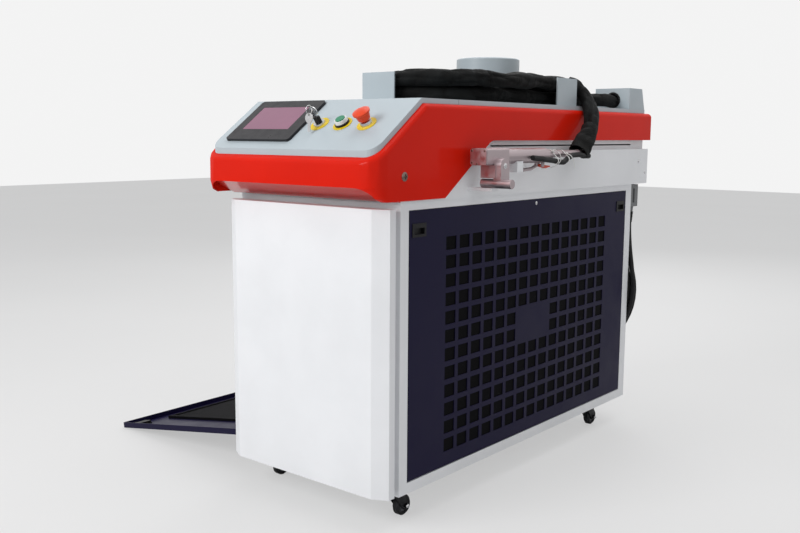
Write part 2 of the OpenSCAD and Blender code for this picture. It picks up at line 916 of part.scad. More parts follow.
module estop_head() {
  low = ring_t + stop_collar_h + stop_travel + rest_fit;
  color(red_paint)
    on_console(stop_x, control_t)
      union() {
        rotate_extrude()
          polygon(concat([[0, low], [stop_neck_r, low], [stop_skirt_r, stop_rim_z - stop_lip],
            [stop_d / 2, stop_rim_z]],
            arc_pts(0, stop_top - stop_dome_r, stop_dome_r, acos(stop_d / 2 / stop_dome_r), 90)));
        translate([0, 0, -core_l + stop_travel + rest_fit])
          cylinder(d = core_d, h = core_l + low - stop_travel);
      }
}

// Refrigeration and laser parts inside the cabinet
cond_x0 = 205;
cond_d = 35;
cond_hw = 260;
cond_z0 = 60;
cond_h = 460;
cond_end_t = 3;
fin_t = 2;
fin_count = 36;
cond_tube_d = 9;
cond_tubes = 9;
fin_pitch = 2 * cond_hw / (fin_count + 1);
cond_tube_pitch = cond_h / cond_tubes;

module condenser() {
  color([0.60, 0.62, 0.64])
    union() {
      for (s = [-1, 1])
        span([cond_x0, s * cond_hw - cond_end_t / 2, sheet],
          [cond_x0 + cond_d, s * cond_hw + cond_end_t / 2, cond_z0 + cond_h]);
      for (i = [1:fin_count])
        span([cond_x0 + fin_t, -cond_hw + i * fin_pitch - fin_t / 2, cond_z0],
          [cond_x0 + cond_d - fin_t, -cond_hw + i * fin_pitch + fin_t / 2, cond_z0 + cond_h]);
      for (i = [0:cond_tubes - 1])
        translate([cond_x0 + cond_d / 2, -cond_hw, cond_z0 + (i + 1 / 2) * cond_tube_pitch])
          rotate([-90, 0, 0])
            cylinder(d = cond_tube_d, h = 2 * cond_hw, $fn = 8);
    }
}

fan_z = 290;
fan_r = 195;
fan_tip_gap = 5;
shroud_t = 4;
shroud_x1 = cond_x0 - rest_fit;
ring_wall = 3;
ring_depth = 36;
motor_d = 92;
motor_l = 52;
motor_x1 = shroud_x1 - ring_depth;
arm_w = 16;
arm_t = 6;
arm_count = 3;
shaft_d = 10;
shaft_l = 24;
hub_d = 90;
hub_l = 24;
hub_gap = 4;
blade_count = 7;
blade_chord = 80;
blade_t = 3;
blade_pitch = 28;

module fan_shroud() {
  color(black)
    translate([0, 0, fan_z])
      difference() {
        union() {
          span([shroud_x1 - shroud_t, -cond_hw, sheet - fan_z],
            [shroud_x1, cond_hw, cond_z0 + cond_h - fan_z]);
          rod_x([shroud_x1 - ring_depth, 0, 0], 2 * (fan_r + fan_tip_gap + ring_wall), ring_depth);
          for (i = [0:arm_count - 1])
            rotate([i * 360 / arm_count, 0, 0])
              span([motor_x1 - arm_t, -arm_w / 2, motor_d / 4],
                [motor_x1, arm_w / 2, fan_r + fan_tip_gap + ring_wall]);
          rod_x([motor_x1 - motor_l, 0, 0], motor_d, motor_l);
        }
        rod_x([motor_x1, 0, 0], 2 * (fan_r + fan_tip_gap), ring_depth + cut_over);
        rod_x([motor_x1 - shaft_l, 0, 0], shaft_d + 2 * run_fit, shaft_l + cut_over);
      }
}

module fan_rotor() {
  hub_x = motor_x1 + hub_gap;
  color(black)
    translate([hub_x, 0, fan_z])
      union() {
        rod_x([0, 0, 0], hub_d, hub_l);
        rod_x([-hub_gap - shaft_l + hub_gap, 0, 0], shaft_d, shaft_l);
        for (i = [0:blade_count - 1])
          rotate([i * 360 / blade_count, 0, 0])
            translate([hub_l / 2, 0, hub_d / 3])
              rotate([0, 0, blade_pitch])
                span([-blade_t / 2, -blade_chord / 4, 0],
                  [blade_t / 2, blade_chord / 4, fan_r - hub_d / 3 - fan_tip_gap]);
      }
}

comp_x = -60;
comp_y = -380;
comp_d = 130;
comp_h = 190;
comp_cap_d = 90;
comp_dome = 24;
comp_foot = 160;
comp_foot_t = 4;
accu_d = 60;
accu_h = 150;
accu_x = comp_x - comp_d / 2 - accu_d / 2 - seat_fit;
accu_y = comp_y - accu_d / 2;

module compressor() {
  color(black)
    translate([0, 0, sheet])
      union() {
        span([comp_x - comp_foot / 2, comp_y - comp_foot / 2, 0],
          [comp_x + comp_foot / 2, comp_y + comp_foot / 2, comp_foot_t]);
        translate([comp_x, comp_y, 0])
          rotate_extrude()
            polygon([[0, 0], [comp_cap_d / 2, comp_foot_t], [comp_d / 2, comp_dome],
              [comp_d / 2, comp_h - comp_dome], [comp_cap_d / 2, comp_h - comp_foot_t], [0, comp_h]]);
        translate([accu_x, accu_y, 0])
          cylinder(d = accu_d, h = accu_h);
      }
}

tank_x0 = -230;
tank_x1 = 20;
tank_y0 = -180;
tank_y1 = 240;
tank_h = 260;
tank_round = 24;
neck_d = 40;
neck_x = filler_x;
neck_pts = [
  [neck_x, half_l - sheet - seat_fit, filler_z], [neck_x, half_l - neck_d - neck_d, filler_z - neck_d / 2],
  [neck_x, half_l / 2 + neck_d, filler_z - 3 * neck_d], [neck_x, tank_y1 - neck_d, tank_h]];

module water_tank() {
  color([0.80, 0.86, 0.88])
    union() {
      translate([0, 0, sheet])
        linear_extrude(tank_h)
          polygon(round_rect(tank_x0, tank_y0, tank_x1, tank_y1, tank_round));
      tube_through(neck_pts, neck_d / 2, 12, [1, 0, 0], [0, -1, 0]);
    }
}

pump_x = -60;
pump_y0 = 300;
pump_d = 90;
pump_l = 130;
volute_d = 110;
volute_l = 40;
pump_z = 60;
pump_foot_w = 70;
port_d = 26;

module water_pump() {
  color([0.12, 0.13, 0.16])
    union() {
      rod_y([pump_x, pump_y0, pump_z], volute_d, volute_l);
      rod_y([pump_x, pump_y0 + volute_l, pump_z], pump_d, pump_l);
      rod_y([pump_x, tank_y1 + seat_fit, pump_z], port_d, pump_y0 - tank_y1);
      span([pump_x - pump_foot_w / 2, pump_y0 + volute_l, sheet],
        [pump_x + pump_foot_w / 2, pump_y0 + volute_l + pump_l, pump_z - pump_d / 3]);
    }
}

pipe_d = 10;
pipe_sides = 8;
pipe_bend = 60;
pipe_high_z = 480;
pipe_low_z = 100;
cond_mid = cond_x0 + cond_d / 2;
cond_pipe_y = -cond_hw - cond_end_t / 2 - seat_fit;
comp_top = sheet + comp_h + seat_fit;
accu_top = sheet + accu_h + seat_fit;
pipe_hot = [
  [comp_x, comp_y, comp_top], [comp_x, comp_y, comp_top + pipe_bend],
  [comp_x, comp_y, pipe_high_z - pipe_bend], [comp_x + pipe_bend / 2, comp_y, pipe_high_z],
  [cond_mid - pipe_bend / 2, comp_y, pipe_high_z], [cond_mid, comp_y + pipe_bend / 2, pipe_high_z],
  [cond_mid, cond_pipe_y, pipe_high_z]];
pipe_liquid = [
  [cond_mid, cond_pipe_y, pipe_low_z], [cond_mid, cond_pipe_y - pipe_bend / 2, pipe_low_z],
  [cond_mid - pipe_bend / 2, cond_pipe_y - pipe_bend, pipe_low_z],
  [tank_x1 + pipe_bend / 2, tank_y0 - pipe_bend, pipe_low_z + pipe_d],
  [tank_x1 - pipe_bend, tank_y0 - pipe_bend / 2, pipe_low_z + 2 * pipe_d],
  [tank_x1 - pipe_bend, tank_y0 - seat_fit, pipe_low_z + 2 * pipe_d]];
pipe_suction = [
  [accu_x, tank_y0 - seat_fit, accu_top + pipe_bend / 2],
  [accu_x, tank_y0 - pipe_bend, accu_top + pipe_bend / 2],
  [accu_x, accu_y + pipe_bend, accu_top + pipe_bend],
  [accu_x, accu_y + pipe_bend / 4, accu_top + pipe_bend],
  [accu_x, accu_y, accu_top + pipe_bend / 2], [accu_x, accu_y, accu_top]];

module refrigerant_pipes() {
  color([0.72, 0.40, 0.22])
    union() {
      tube_through(pipe_hot, pipe_d / 2, pipe_sides, [1, 2, 0], [0, 0, 1], [0, 1, 0]);
      tube_through(pipe_liquid, pipe_d / 2, pipe_sides, [0, 0, 1], [0, -1, 0], [0, 1, 0]);
      tube_through(pipe_suction, pipe_d / 2, pipe_sides, [1, 0, 0], [0, -1, 0], [0, 0, -1]);
    }
}

unit_hw = 150;
unit_y0 = 400;
unit_low = 370;
unit_z0 = cab_h - unit_low;
unit_h = 270;
unit_fin_t = 3;
unit_fin_h = 16;
unit_fin_pitch = 20;
unit_fin_count = 14;

module power_unit() {
  color([0.70, 0.71, 0.72])
    union() {
      difference() {
        span([-unit_hw, unit_y0, unit_z0], [unit_hw, half_l - sheet - seat_fit, unit_z0 + unit_h]);
        span([-unit_hw + sheet, unit_y0 + sheet, unit_z0 + sheet],
          [unit_hw - sheet, half_l - sheet + cut_over, unit_z0 + unit_h - sheet]);
      }
      for (i = [0:unit_fin_count - 1])
        span([-unit_hw + (i + 1 / 2) * unit_fin_pitch, unit_y0 - unit_fin_h, unit_z0 + unit_fin_h],
          [-unit_hw + (i + 1 / 2) * unit_fin_pitch + unit_fin_t, unit_y0, unit_z0 + unit_h - unit_fin_h]);
    }
}

// Mains inlet, cable hook and cap on the rear wall
inlet_w = 24;
inlet_side_gap = 4;
inlet_h = 71;
inlet_x1 = half_w - inlet_side_gap;
inlet_x0 = inlet_x1 - inlet_w;
inlet_d = 57;
inlet_z1 = cab_h - inlet_side_gap;
inlet_z0 = inlet_z1 - inlet_h;
inlet_slot_w = 12;
inlet_slot_h = 46;
inlet_slot_d = 10;
gland_x = (inlet_x0 + inlet_x1) / 2;
gland_out = 28;
gland_y = half_l + gland_out;
gland_d = 22;
gland_l = 17;

module power_connector() {
  color([0.45, 0.46, 0.47])
    difference() {
      union() {
        span([inlet_x0, half_l, inlet_z0], [inlet_x1, half_l + inlet_d, inlet_z1]);
        translate([gland_x, gland_y, inlet_z0 - gland_l])
          cylinder(d1 = gland_d - gland_l / 4, d2 = gland_d, h = gland_l + cut_over);
      }
      translate([inlet_x1, gland_y, (inlet_z0 + inlet_z1) / 2])
        cube([2 * inlet_slot_d, inlet_slot_w, inlet_slot_h], center = true);
    }
}

wind_x = 66;
wind_z = 351;
wind_pitch = cable_d + 2;
hook_a = 9;
hook_t = 8;
hook_l = 46;
hook_lip = 26;
hook_plate_h = 60;
hook_plate_t = 3;
// The cradle's top face follows the inside of the innermost turn at the top, 1.75 turns in
hook_turn = 1.75;
hook_r = (cable_coil_r - wind_pitch * hook_turn - cable_d / 2) * cos(180 / 24) - 2 * rest_fit;

// A slice of a ring round the coil's centre, between two radii and two depths
module hook_slice(r0, r1, y0, y1) {
  translate([wind_x, 0, wind_z])
    front_extrude(y0, y1)
      polygon(concat(arc_pts(0, 0, r1, 90 - hook_a, 90 + hook_a),
        arc_pts(0, 0, r0, 90 + hook_a, 90 - hook_a)));
}

module cable_hook() {
  color(white_paint)
    union() {
      hook_slice(hook_r - hook_plate_h, hook_r + hook_lip, half_l, half_l + hook_plate_t);
      hook_slice(hook_r - hook_t, hook_r, half_l, half_l + hook_l);
      hook_slice(hook_r - hook_t, hook_r + hook_lip, half_l + hook_l - hook_t, half_l + hook_l);
    }
}

// Hanging mains cable: spiral in on one layer, out again on the next
wind_y0 = half_l + cable_d;
wind_step = cable_d + 1;
function wind_r(u) = cable_coil_r - wind_pitch * min(u, cable_turns - u);
function wind_y(u) = wind_y0 + wind_step * min(1, max(0, (u - cable_turns / 2) * 2 + 1 / 2));
wind_n = round(cable_turns * 24);
wind_a = 360 * cable_turns;
wind_end_way = [-sin(wind_a), 0, -cos(wind_a)];
wind_end = [wind_x + cable_coil_r * cos(wind_a), wind_y0 + wind_step,
  wind_z - cable_coil_r * sin(wind_a)] + cable_d * wind_end_way;
wind_pts = concat(
  [[wind_x + cable_coil_r, wind_y0, wind_z + cable_d]],
  [for (i = [0:wind_n]) let (u = i / 24) [wind_x + wind_r(u) * cos(360 * u), wind_y(u),
    wind_z - wind_r(u) * sin(360 * u)]],
  [wind_end]);
echo(least_gap_of_cable_coil = self_gap(wind_pts, cable_d, 8));

module power_coil() {
  color(black)
    tube_through(wind_pts, cable_d / 2, 6, [0, 1, 0], [0, 0, -1], wind_end_way);
}

lead_pts = [
  [254, 612, 608], [254, 612, 570], [256, 611, 535], [262, 608, 490], [270, 604, 450],
  [278, 600, 410], [283, 598, 385], [283, 598, 365]];
tail_pts = [[198, 614, 172], [190, 616, 150], [186, 618, 122], [186, 618, 96]];

module power_lead() {
  color(black)
    union() {
      tube_through(lead_pts, cable_d / 2, 10, [0, 1, 0], [0, 0, -1], [0, 0, -1]);
      tube_through(concat([wind_end], tail_pts), cable_d / 2, 10, [0, 1, 0], wind_end_way, [0, 0, -1]);
    }
}

plug_d = 34;
plug_grip_l = 46;
plug_face_l = 16;
plug_face_d = 40;
plug_pin_l = 19;
plug_pin_w = 6;
plug_pin_t = 4;
plug_pin_gap = 19;
plug_at = tail_pts[len(tail_pts) - 1];

module power_plug() {
  color(black)
    translate(plug_at)
      rotate([180, 0, 0])
        union() {
          cylinder(d1 = cable_d + sheet, d2 = plug_d, h = plug_grip_l);
          translate([0, 0, plug_grip_l])
            cylinder(d = plug_face_d, h = plug_face_l);
          for (s = [-1, 0, 1])
            translate([abs(s) * plug_pin_w, s * plug_pin_gap / 2, plug_grip_l + plug_face_l])
              linear_extrude(plug_pin_l)
                square([plug_pin_w, plug_pin_t], center = true);
        }
}

cap_d = 56;
cap_t = 14;
cap_grip_w = 8;
cap_grip_h = 8;
cap_plug_l = 8;

module filler_cap() {
  color(black)
    translate([filler_x, half_l, filler_z])
      rotate([-90, 0, 0])
        union() {
          translate([0, 0, -sheet])
            cylinder(d = filler_hole_d - 2 * rest_fit, h = sheet + cut_over);
          translate([0, 0, rest_fit])
            cylinder(d = cap_d, h = cap_t);
          translate([-cap_d / 2 + cap_grip_h / 2, -cap_grip_w / 2, cap_t])
            cube([cap_d - cap_grip_h, cap_grip_w, cap_grip_h]);
        }
}

// Side panels with their grille, filter and latches
grille_mid_y = 0.5;
grille_margin = 72;
grille_low = 13;
grille_mid_z = cab_h / 2 - grille_low;
rows_shown = min(grille_rows, 2 * floor((cab_h - 2 * grille_margin) / hole_pitch_z / 2));
blank_cols = 3;
blank_rows = 2;
latch_w = 52;
latch_h = 32;
latch_low = 68;
latch_z = cab_h - latch_low;
latch_inset = 36.5;
latch_hole_w = 46;
latch_hole_h = 26;
latch_travel = 6;
tongue_w = 20;
tongue_t = 3;
boss_d = 14;
boss_l = 4;
latch_front_y = panel_y0 + latch_inset;
latch_rear_y = panel_y1 - latch_inset;

module panel_face() {
  difference() {
    square_from(panel_y0, panel_z0, panel_y1, panel_z1);
    for (c = [0:grille_cols - 1], r = [0:rows_shown - 1]) {
      dc = c - (grille_cols - 1) / 2;
      dr = r - (rows_shown - 1) / 2;
      if (abs(dc) * 2 > blank_cols || abs(dr) * 2 > blank_rows)
        translate([grille_mid_y + dc * hole_pitch_y, grille_mid_z + dr * hole_pitch_z])
          square([hole_w, hole_h], center = true);
    }
    for (y = [latch_front_y, latch_rear_y])
      translate([y, latch_z])
        square([latch_hole_w, latch_hole_h], center = true);
  }
}

module panel_body() {
  x0 = half_w - panel_flange;
  difference() {
    union() {
      side_extrude(half_w - sheet, half_w)
        panel_face();
      span([x0, panel_y0, panel_z0], [half_w - sheet, panel_y1, panel_z0 + sheet]);
      span([x0, panel_y0, panel_z1 - sheet], [half_w - sheet, panel_y1, panel_z1]);
      span([x0, panel_y0, panel_z0 + sheet], [half_w - sheet, panel_y0 + sheet, panel_z1 - sheet]);
      span([x0, panel_y1 - sheet, panel_z0 + sheet], [half_w - sheet, panel_y1, panel_z1 - sheet]);
      rod_y([pivot_x, panel_y0 + sheet, pivot_z], boss_d, boss_l);
      rod_y([pivot_x, panel_y1 - sheet - boss_l, pivot_z], boss_d, boss_l);
    }
    rod_y([pivot_x, panel_y0 - cut_over, pivot_z], pivot_d + 2 * run_fit, sheet + boss_l + 2 * cut_over);
    rod_y([pivot_x, panel_y1 - sheet - boss_l - cut_over, pivot_z], pivot_d + 2 * run_fit,
      sheet + boss_l + 2 * cut_over);
    for (y = [latch_front_y, latch_rear_y])
      span([latch_tongue_x - rest_fit, y - tongue_w / 2 - rest_fit, panel_z1 - sheet - cut_over],
        [latch_tongue_x + tongue_t + rest_fit, y + tongue_w / 2 + rest_fit, panel_z1 + cut_over]);
  }
}

filter_end_gap = 160;
filter_hw = half_l - filter_end_gap;
filter_low = 12;
filter_margin = 68;
filter_mid_z = cab_h / 2 - filter_low;
filter_hh = cab_h / 2 - filter_margin;
filter_t = 8;
filter_pad_t = 5;
filter_rim = 14;

module filter_body() {
  x1 = half_w - sheet;
  difference() {
    span([x1 - filter_t, -filter_hw, filter_mid_z - filter_hh], [x1, filter_hw, filter_mid_z + filter_hh]);
    span([x1 - filter_t - cut_over, -filter_hw + filter_rim, filter_mid_z - filter_hh + filter_rim],
      [x1 - filter_pad_t, filter_hw - filter_rim, filter_mid_z + filter_hh - filter_rim]);
  }
}

latch_flange_t = 1.8;
latch_pocket_d = 7;
latch_pocket_w = 38;
latch_pocket_h = 15;
latch_tongue_x = half_w - sheet - rest_fit - tongue_t - tongue_t;

// Slide latch: it rests drawn down and slides up behind the top rail's lip
module latch_body(y) {
  inner = half_w - sheet - rest_fit;
  drop = latch_travel / 2;
  difference() {
    union() {
      span([half_w + run_fit, y - latch_w / 2, latch_z - latch_h / 2],
        [half_w + run_fit + latch_flange_t, y + latch_w / 2, latch_z + latch_h / 2]);
      span([inner - cut_over, y - latch_hole_w / 2 + rest_fit, latch_z - latch_hole_h / 2 + rest_fit],
        [half_w + run_fit + cut_over, y + latch_hole_w / 2 - rest_fit,
          latch_z + latch_hole_h / 2 - latch_travel - rest_fit]);
      span([inner - tongue_t, y - latch_w / 2, latch_z - latch_h / 2],
        [inner, y + latch_w / 2, latch_z + latch_h / 2]);
      span([inner - latch_pocket_d - tongue_t, y - latch_w / 2 + tongue_t, latch_z - latch_h / 2],
        [inner - tongue_t, y + latch_w / 2 - tongue_t, latch_z + latch_h / 2 - drop]);
      span([latch_tongue_x, y - tongue_w / 2, latch_z],
        [latch_tongue_x + tongue_t, y + tongue_w / 2, panel_z1]);
    }
    span([half_w - latch_pocket_d, y - latch_pocket_w / 2, latch_z - latch_hole_h / 2 + drop],
      [half_w + run_fit + latch_flange_t + cut_over, y + latch_pocket_w / 2,
        latch_z - latch_hole_h / 2 + drop + latch_pocket_h]);
  }
}

// A left piece is the right one mirrored and swung out to the open position
module swung_left() {
  translate([-pivot_x, 0, pivot_z])
    rotate([0, -panel_swing, 0])
      translate([pivot_x, 0, -pivot_z])
        mirror([1, 0, 0])
          children();
}

module left_panel() {
  color(navy)
    swung_left()
      panel_body();
}

module left_filter() {
  color(black)
    swung_left()
      filter_body();
}

module left_latch_front() {
  color(black)
    swung_left()
      latch_body(latch_front_y);
}

module left_latch_rear() {
  color(black)
    swung_left()
      latch_body(latch_rear_y);
}

module right_panel() {
  color(navy)
    panel_body();
}

module right_filter() {
  color(black)
    filter_body();
}

module right_latch_front() {
  color(black)
    latch_body(latch_front_y);
}

module right_latch_rear() {
  color(black)
    latch_body(latch_rear_y);
}

// Casters
axle_z = floor_z + wheel_d / 2;
fork_top = -pad_t - race_h - rest_fit;
crown_t = 6;
crown_d = 46;
leg_t = 2.5;
leg_gap = 1;
leg_foot_r = 11;
leg_head_hw = 19;
axle_d = 8;
nut_d = 13;
nut_l = 5;
leg_x0 = wheel_w / 2 + leg_gap;
leg_x1 = leg_x0 + leg_t;

module fork_body() {
  color(black)
    union() {
      translate([0, 0, fork_top - crown_t])
        cylinder(d1 = crown_d - crown_t, d2 = crown_d, h = crown_t);
      translate([0, 0, fork_top - cut_over])
        cylinder(d = kingpin_d, h = race_h + rest_fit);
      for (s = [-1, 1])
        side_extrude(s > 0 ? leg_x0 : -leg_x1, s > 0 ? leg_x1 : -leg_x0)
          hull() {
            square_from(-leg_head_hw, fork_top - crown_t - cut_over, leg_head_hw, fork_top - crown_t / 2);
            translate([trail, axle_z])
              circle(r = leg_foot_r);
          }
      rod_x([-leg_x1, trail, axle_z], axle_d, 2 * leg_x1);
      for (s = [-1, 1])
        translate([s > 0 ? leg_x1 : -leg_x1 - nut_l, trail, axle_z])
          rotate([0, 90, 0])
            cylinder(d = nut_d, h = nut_l, $fn = 6);
    }
}

tread_round = 4;
web_w = 12;
rim_in_r = 17;
boss_r = 9;

module wheel_body() {
  r = wheel_d / 2;
  color(black)
    translate([0, trail, axle_z])
      rotate([0, 90, 0])
        rotate_extrude($fn = 64)
          polygon([[axle_d / 2 + run_fit, -wheel_w / 2], [boss_r, -wheel_w / 2], [boss_r, -web_w / 2],
            [rim_in_r, -web_w / 2], [rim_in_r, -wheel_w / 2 + cut_over],
            [r - tread_round, -wheel_w / 2 + cut_over], [r, -wheel_w / 2 + cut_over + tread_round],
            [r, wheel_w / 2 - cut_over - tread_round], [r - tread_round, wheel_w / 2 - cut_over],
            [rim_in_r, wheel_w / 2 - cut_over], [rim_in_r, web_w / 2], [boss_r, web_w / 2],
            [boss_r, wheel_w / 2], [axle_d / 2 + run_fit, wheel_w / 2]]);
}

module at_caster(i) {
  translate([caster_spots[i][0], caster_spots[i][1], 0])
    children();
}

module caster_fork_front_left() {
  at_caster(0)
    fork_body();
}

module caster_fork_front_right() {
  at_caster(1)
    fork_body();
}

module caster_fork_rear_left() {
  at_caster(2)
    fork_body();
}

module caster_fork_rear_right() {
  at_caster(3)
    fork_body();
}

module caster_wheel_front_left() {
  at_caster(0)
    wheel_body();
}

module caster_wheel_front_right() {
  at_caster(1)
    wheel_body();
}

module caster_wheel_rear_left() {
  at_caster(2)
    wheel_body();
}

module caster_wheel_rear_right() {
  at_caster(3)
    wheel_body();
}

// Hand gun and its rest on the laser box
gun_out = 54;
gun_rise = 101;
gun_x = box_hw + gun_out;
gun_z = cab_h + gun_rise;
head_y0 = -377;
head_y1 = head_y0 + head_l;
collar_y = -79;
collar_l = 31;
collar_step = 6;
tail_d = 19;
tail_lift = 3;
tail_y1 = 96;
cap_end_y = 138;
ferrule_d = 21;
lower_w = 43;
lower_y0 = -347;
lower_l = 60;
lower_h = 30;
lower_gap = 1;
cross_d = 22;
cross_l = 86;
cross_in = 14;
cross_drop = 64;
cheek_t = 20;
cheek_y0 = -345;
cheek_l = 37;
cheek_z0 = -56;
cheek_top = -3;
plate_cover_t = 3;
head_round = 5;

module gun_head() {
  top = gun_z + head_h / 2;
  bottom = gun_z - head_h / 2;
  cross_y = lower_y0 + cross_d / 2 - lower_gap;
  color([0.75, 0.72, 0.72])
    union() {
      front_extrude(head_y0 + plate_cover_t, head_y1)
        polygon(round_rect(gun_x - head_w / 2, bottom, gun_x + head_w / 2, top, head_round));
      front_extrude(head_y0, head_y0 + plate_cover_t)
        polygon(round_rect(gun_x - head_w / 2 + lower_gap, bottom + lower_gap,
          gun_x + head_w / 2 - lower_gap, top - lower_gap, head_round));
      span([gun_x - cross_in + lower_gap, lower_y0, bottom - lower_h - lower_gap],
        [gun_x - cross_in + lower_gap + lower_w, lower_y0 + lower_l, bottom]);
      rod_x([gun_x - cross_in, cross_y, gun_z - cross_drop], cross_d, cross_l);
      side_extrude(gun_x + head_w / 2 - cut_over, gun_x + head_w / 2 + cheek_t)
        union() {
          square_from(cheek_y0, gun_z + cheek_z0, cheek_y0 + cheek_l, gun_z + cheek_top - cheek_l / 2);
          translate([cheek_y0 + cheek_l / 2, gun_z + cheek_top - cheek_l / 2])
            circle(d = cheek_l);
        }
    }
}

guard_d = 9;
guard_y0 = -195;
guard_y1 = -112;
guard_drop = 36;
lug_t = 3;
lug_h = 14;
lug_l = 12;
trigger_w = 10;
trigger_l = 46;
trigger_h = 8;
trigger_y0 = -97;
trigger_pin_d = 4;
trigger_drop = 26;
trigger_pin_y = trigger_y0 + trigger_h / 2;
trigger_pin_z = gun_z - trigger_drop;
guard_pts = [
  [gun_x, guard_y0, gun_z - barrel_d / 3], [gun_x, guard_y0 + guard_d / 2, gun_z - guard_drop + guard_d],
  [gun_x, guard_y0 + 2 * guard_d, gun_z - guard_drop],
  [gun_x, guard_y1 - 3 * guard_d, gun_z - guard_drop + guard_d / 4],
  [gun_x, guard_y1 - guard_d / 2, gun_z - guard_drop + guard_d], [gun_x, guard_y1, gun_z - barrel_d / 3]];

module gun_barrel() {
  color(steel)
    union() {
      rod_y([gun_x, head_y1, gun_z], barrel_d, collar_y - head_y1);
      rod_y([gun_x, collar_y - cut_over, gun_z], barrel_d - collar_step, collar_l / 2 + cut_over);
      rod_y([gun_x, collar_y + collar_l / 2, gun_z + tail_lift / 2],
        barrel_d - 2 * collar_step, collar_l / 2);
      rod_y([gun_x, collar_y + collar_l - cut_over, gun_z + tail_lift], tail_d,
        tail_y1 - collar_y - collar_l + 2 * cut_over);
      rod_y([gun_x, tail_y1, gun_z + tail_lift], ferrule_d, cap_end_y - tail_y1);
      tube_through(guard_pts, guard_d / 2, 8, [1, 0, 0], [0, 0, -1], [0, 0, 1]);
      for (s = [-1, 1])
        span([gun_x + s * (trigger_w / 2 + rest_fit + lug_t / 2) - lug_t / 2, trigger_pin_y - lug_l / 2,
            trigger_pin_z - lug_h / 4],
          [gun_x + s * (trigger_w / 2 + rest_fit + lug_t / 2) + lug_t / 2, trigger_pin_y + lug_l / 2,
            gun_z - barrel_d / 3]);
      rod_x([gun_x - trigger_w / 2 - rest_fit - lug_t / 2, trigger_pin_y, trigger_pin_z], trigger_pin_d,
        trigger_w + 2 * rest_fit + lug_t);
    }
}

module gun_trigger() {
  color([0.85, 0.16, 0.05])
    difference() {
      union() {
        rod_x([gun_x - trigger_w / 2, trigger_pin_y, trigger_pin_z], trigger_h, trigger_w);
        side_extrude(gun_x - trigger_w / 2, gun_x + trigger_w / 2)
          polygon([[trigger_pin_y, trigger_pin_z + trigger_h / 4],
            [trigger_y0 + trigger_l, trigger_pin_z - trigger_h / 4],
            [trigger_y0 + trigger_l, trigger_pin_z - trigger_h / 2],
            [trigger_y0 + trigger_l / 2, trigger_pin_z - trigger_h],
            [trigger_pin_y, trigger_pin_z - trigger_h / 2]]);
      }
      rod_x([gun_x - trigger_w / 2 - cut_over, trigger_pin_y, trigger_pin_z], trigger_pin_d + 2 * run_fit,
        trigger_w + 2 * cut_over);
    }
}

line_d = 14;
line_end_out = 16;
line_end_low = 4.5;
// Points of the line from the middle of the head's front face
line_way = [
  [26, 203, -5], [25.5, 257, -9], [24.5, 290, -12], [23, 315, -14], [21, 345, -18], [20, 370, -19],
  [19, 393, -9], [18, 420, -1], [18, 455, 0], [16.5, 490, -4]];
gun_line_pts = concat([for (p = line_way) p + [gun_x, head_y0, gun_z]],
  [[gun_x + line_end_out, cap_end_y - rest_fit, gun_z - line_end_low]]);

module gun_lines() {
  color(black)
    tube_through(gun_line_pts, line_d / 2, 8, [0, 0, 1], [0, 1, 0], [0, 1, 0]);
}

rest_plate_t = 2;
saddle_y0 = -231;
saddle_l = 27;
saddle_h = 21;
saddle_z0 = gun_z - barrel_d / 2 - saddle_h;
saddle_lip = 6;
saddle_in = 12;
rest_arm_z = gun_z - cross_drop - cross_d / 2 - rest_fit;
rest_arm_t = 7;
rest_arm_l = 27;
rest_foot_y = -441;
rest_head_y = -335;
rest_foot_rise = 7;
rest_head_rise = 77;
rest_len = 276;

module gun_bracket() {
  plate_x1 = box_hw + rest_plate_t;
  color(white_paint)
    difference() {
      union() {
        side_extrude(box_hw, plate_x1)
          polygon([[rest_foot_y, cab_h + rest_foot_rise], [rest_foot_y + rest_len, cab_h + rest_foot_rise],
            [rest_head_y + rest_len, cab_h + rest_head_rise - rest_foot_rise],
            [rest_head_y, cab_h + rest_head_rise]]);
        span([plate_x1 - cut_over, saddle_y0, saddle_z0],
          [gun_x + barrel_d / 2 - rest_plate_t, saddle_y0 + saddle_l, gun_z - barrel_d / 2 + saddle_lip]);
        span([plate_x1 - cut_over, lower_y0, rest_arm_z - rest_arm_t],
          [gun_x + barrel_d / 2, lower_y0 + rest_arm_l, rest_arm_z]);
      }
      rod_y([gun_x, saddle_y0 - cut_over, gun_z], barrel_d + 2 * rest_fit, saddle_l + 2 * cut_over);
      span([plate_x1, saddle_y0 - cut_over, saddle_z0 + saddle_in],
        [gun_x - barrel_d / 2 - rest_plate_t, saddle_y0 + saddle_l + cut_over, gun_z]);
    }
}

// Umbilical: two layers on the deck, spiral in below and out above
coil_pitch = sleeve_d + 2;
coil_step = sleeve_d + 1;
coil_z0 = deck_z + sleeve_d / 2 + rest_fit;
coil_front_y = -131;
coil_rear_y = 185;
// The front end is narrower on the left, so the left side leans in
coil_taper = 49;
coil_lean = 2 * atan(coil_taper / (coil_rear_y - coil_front_y));
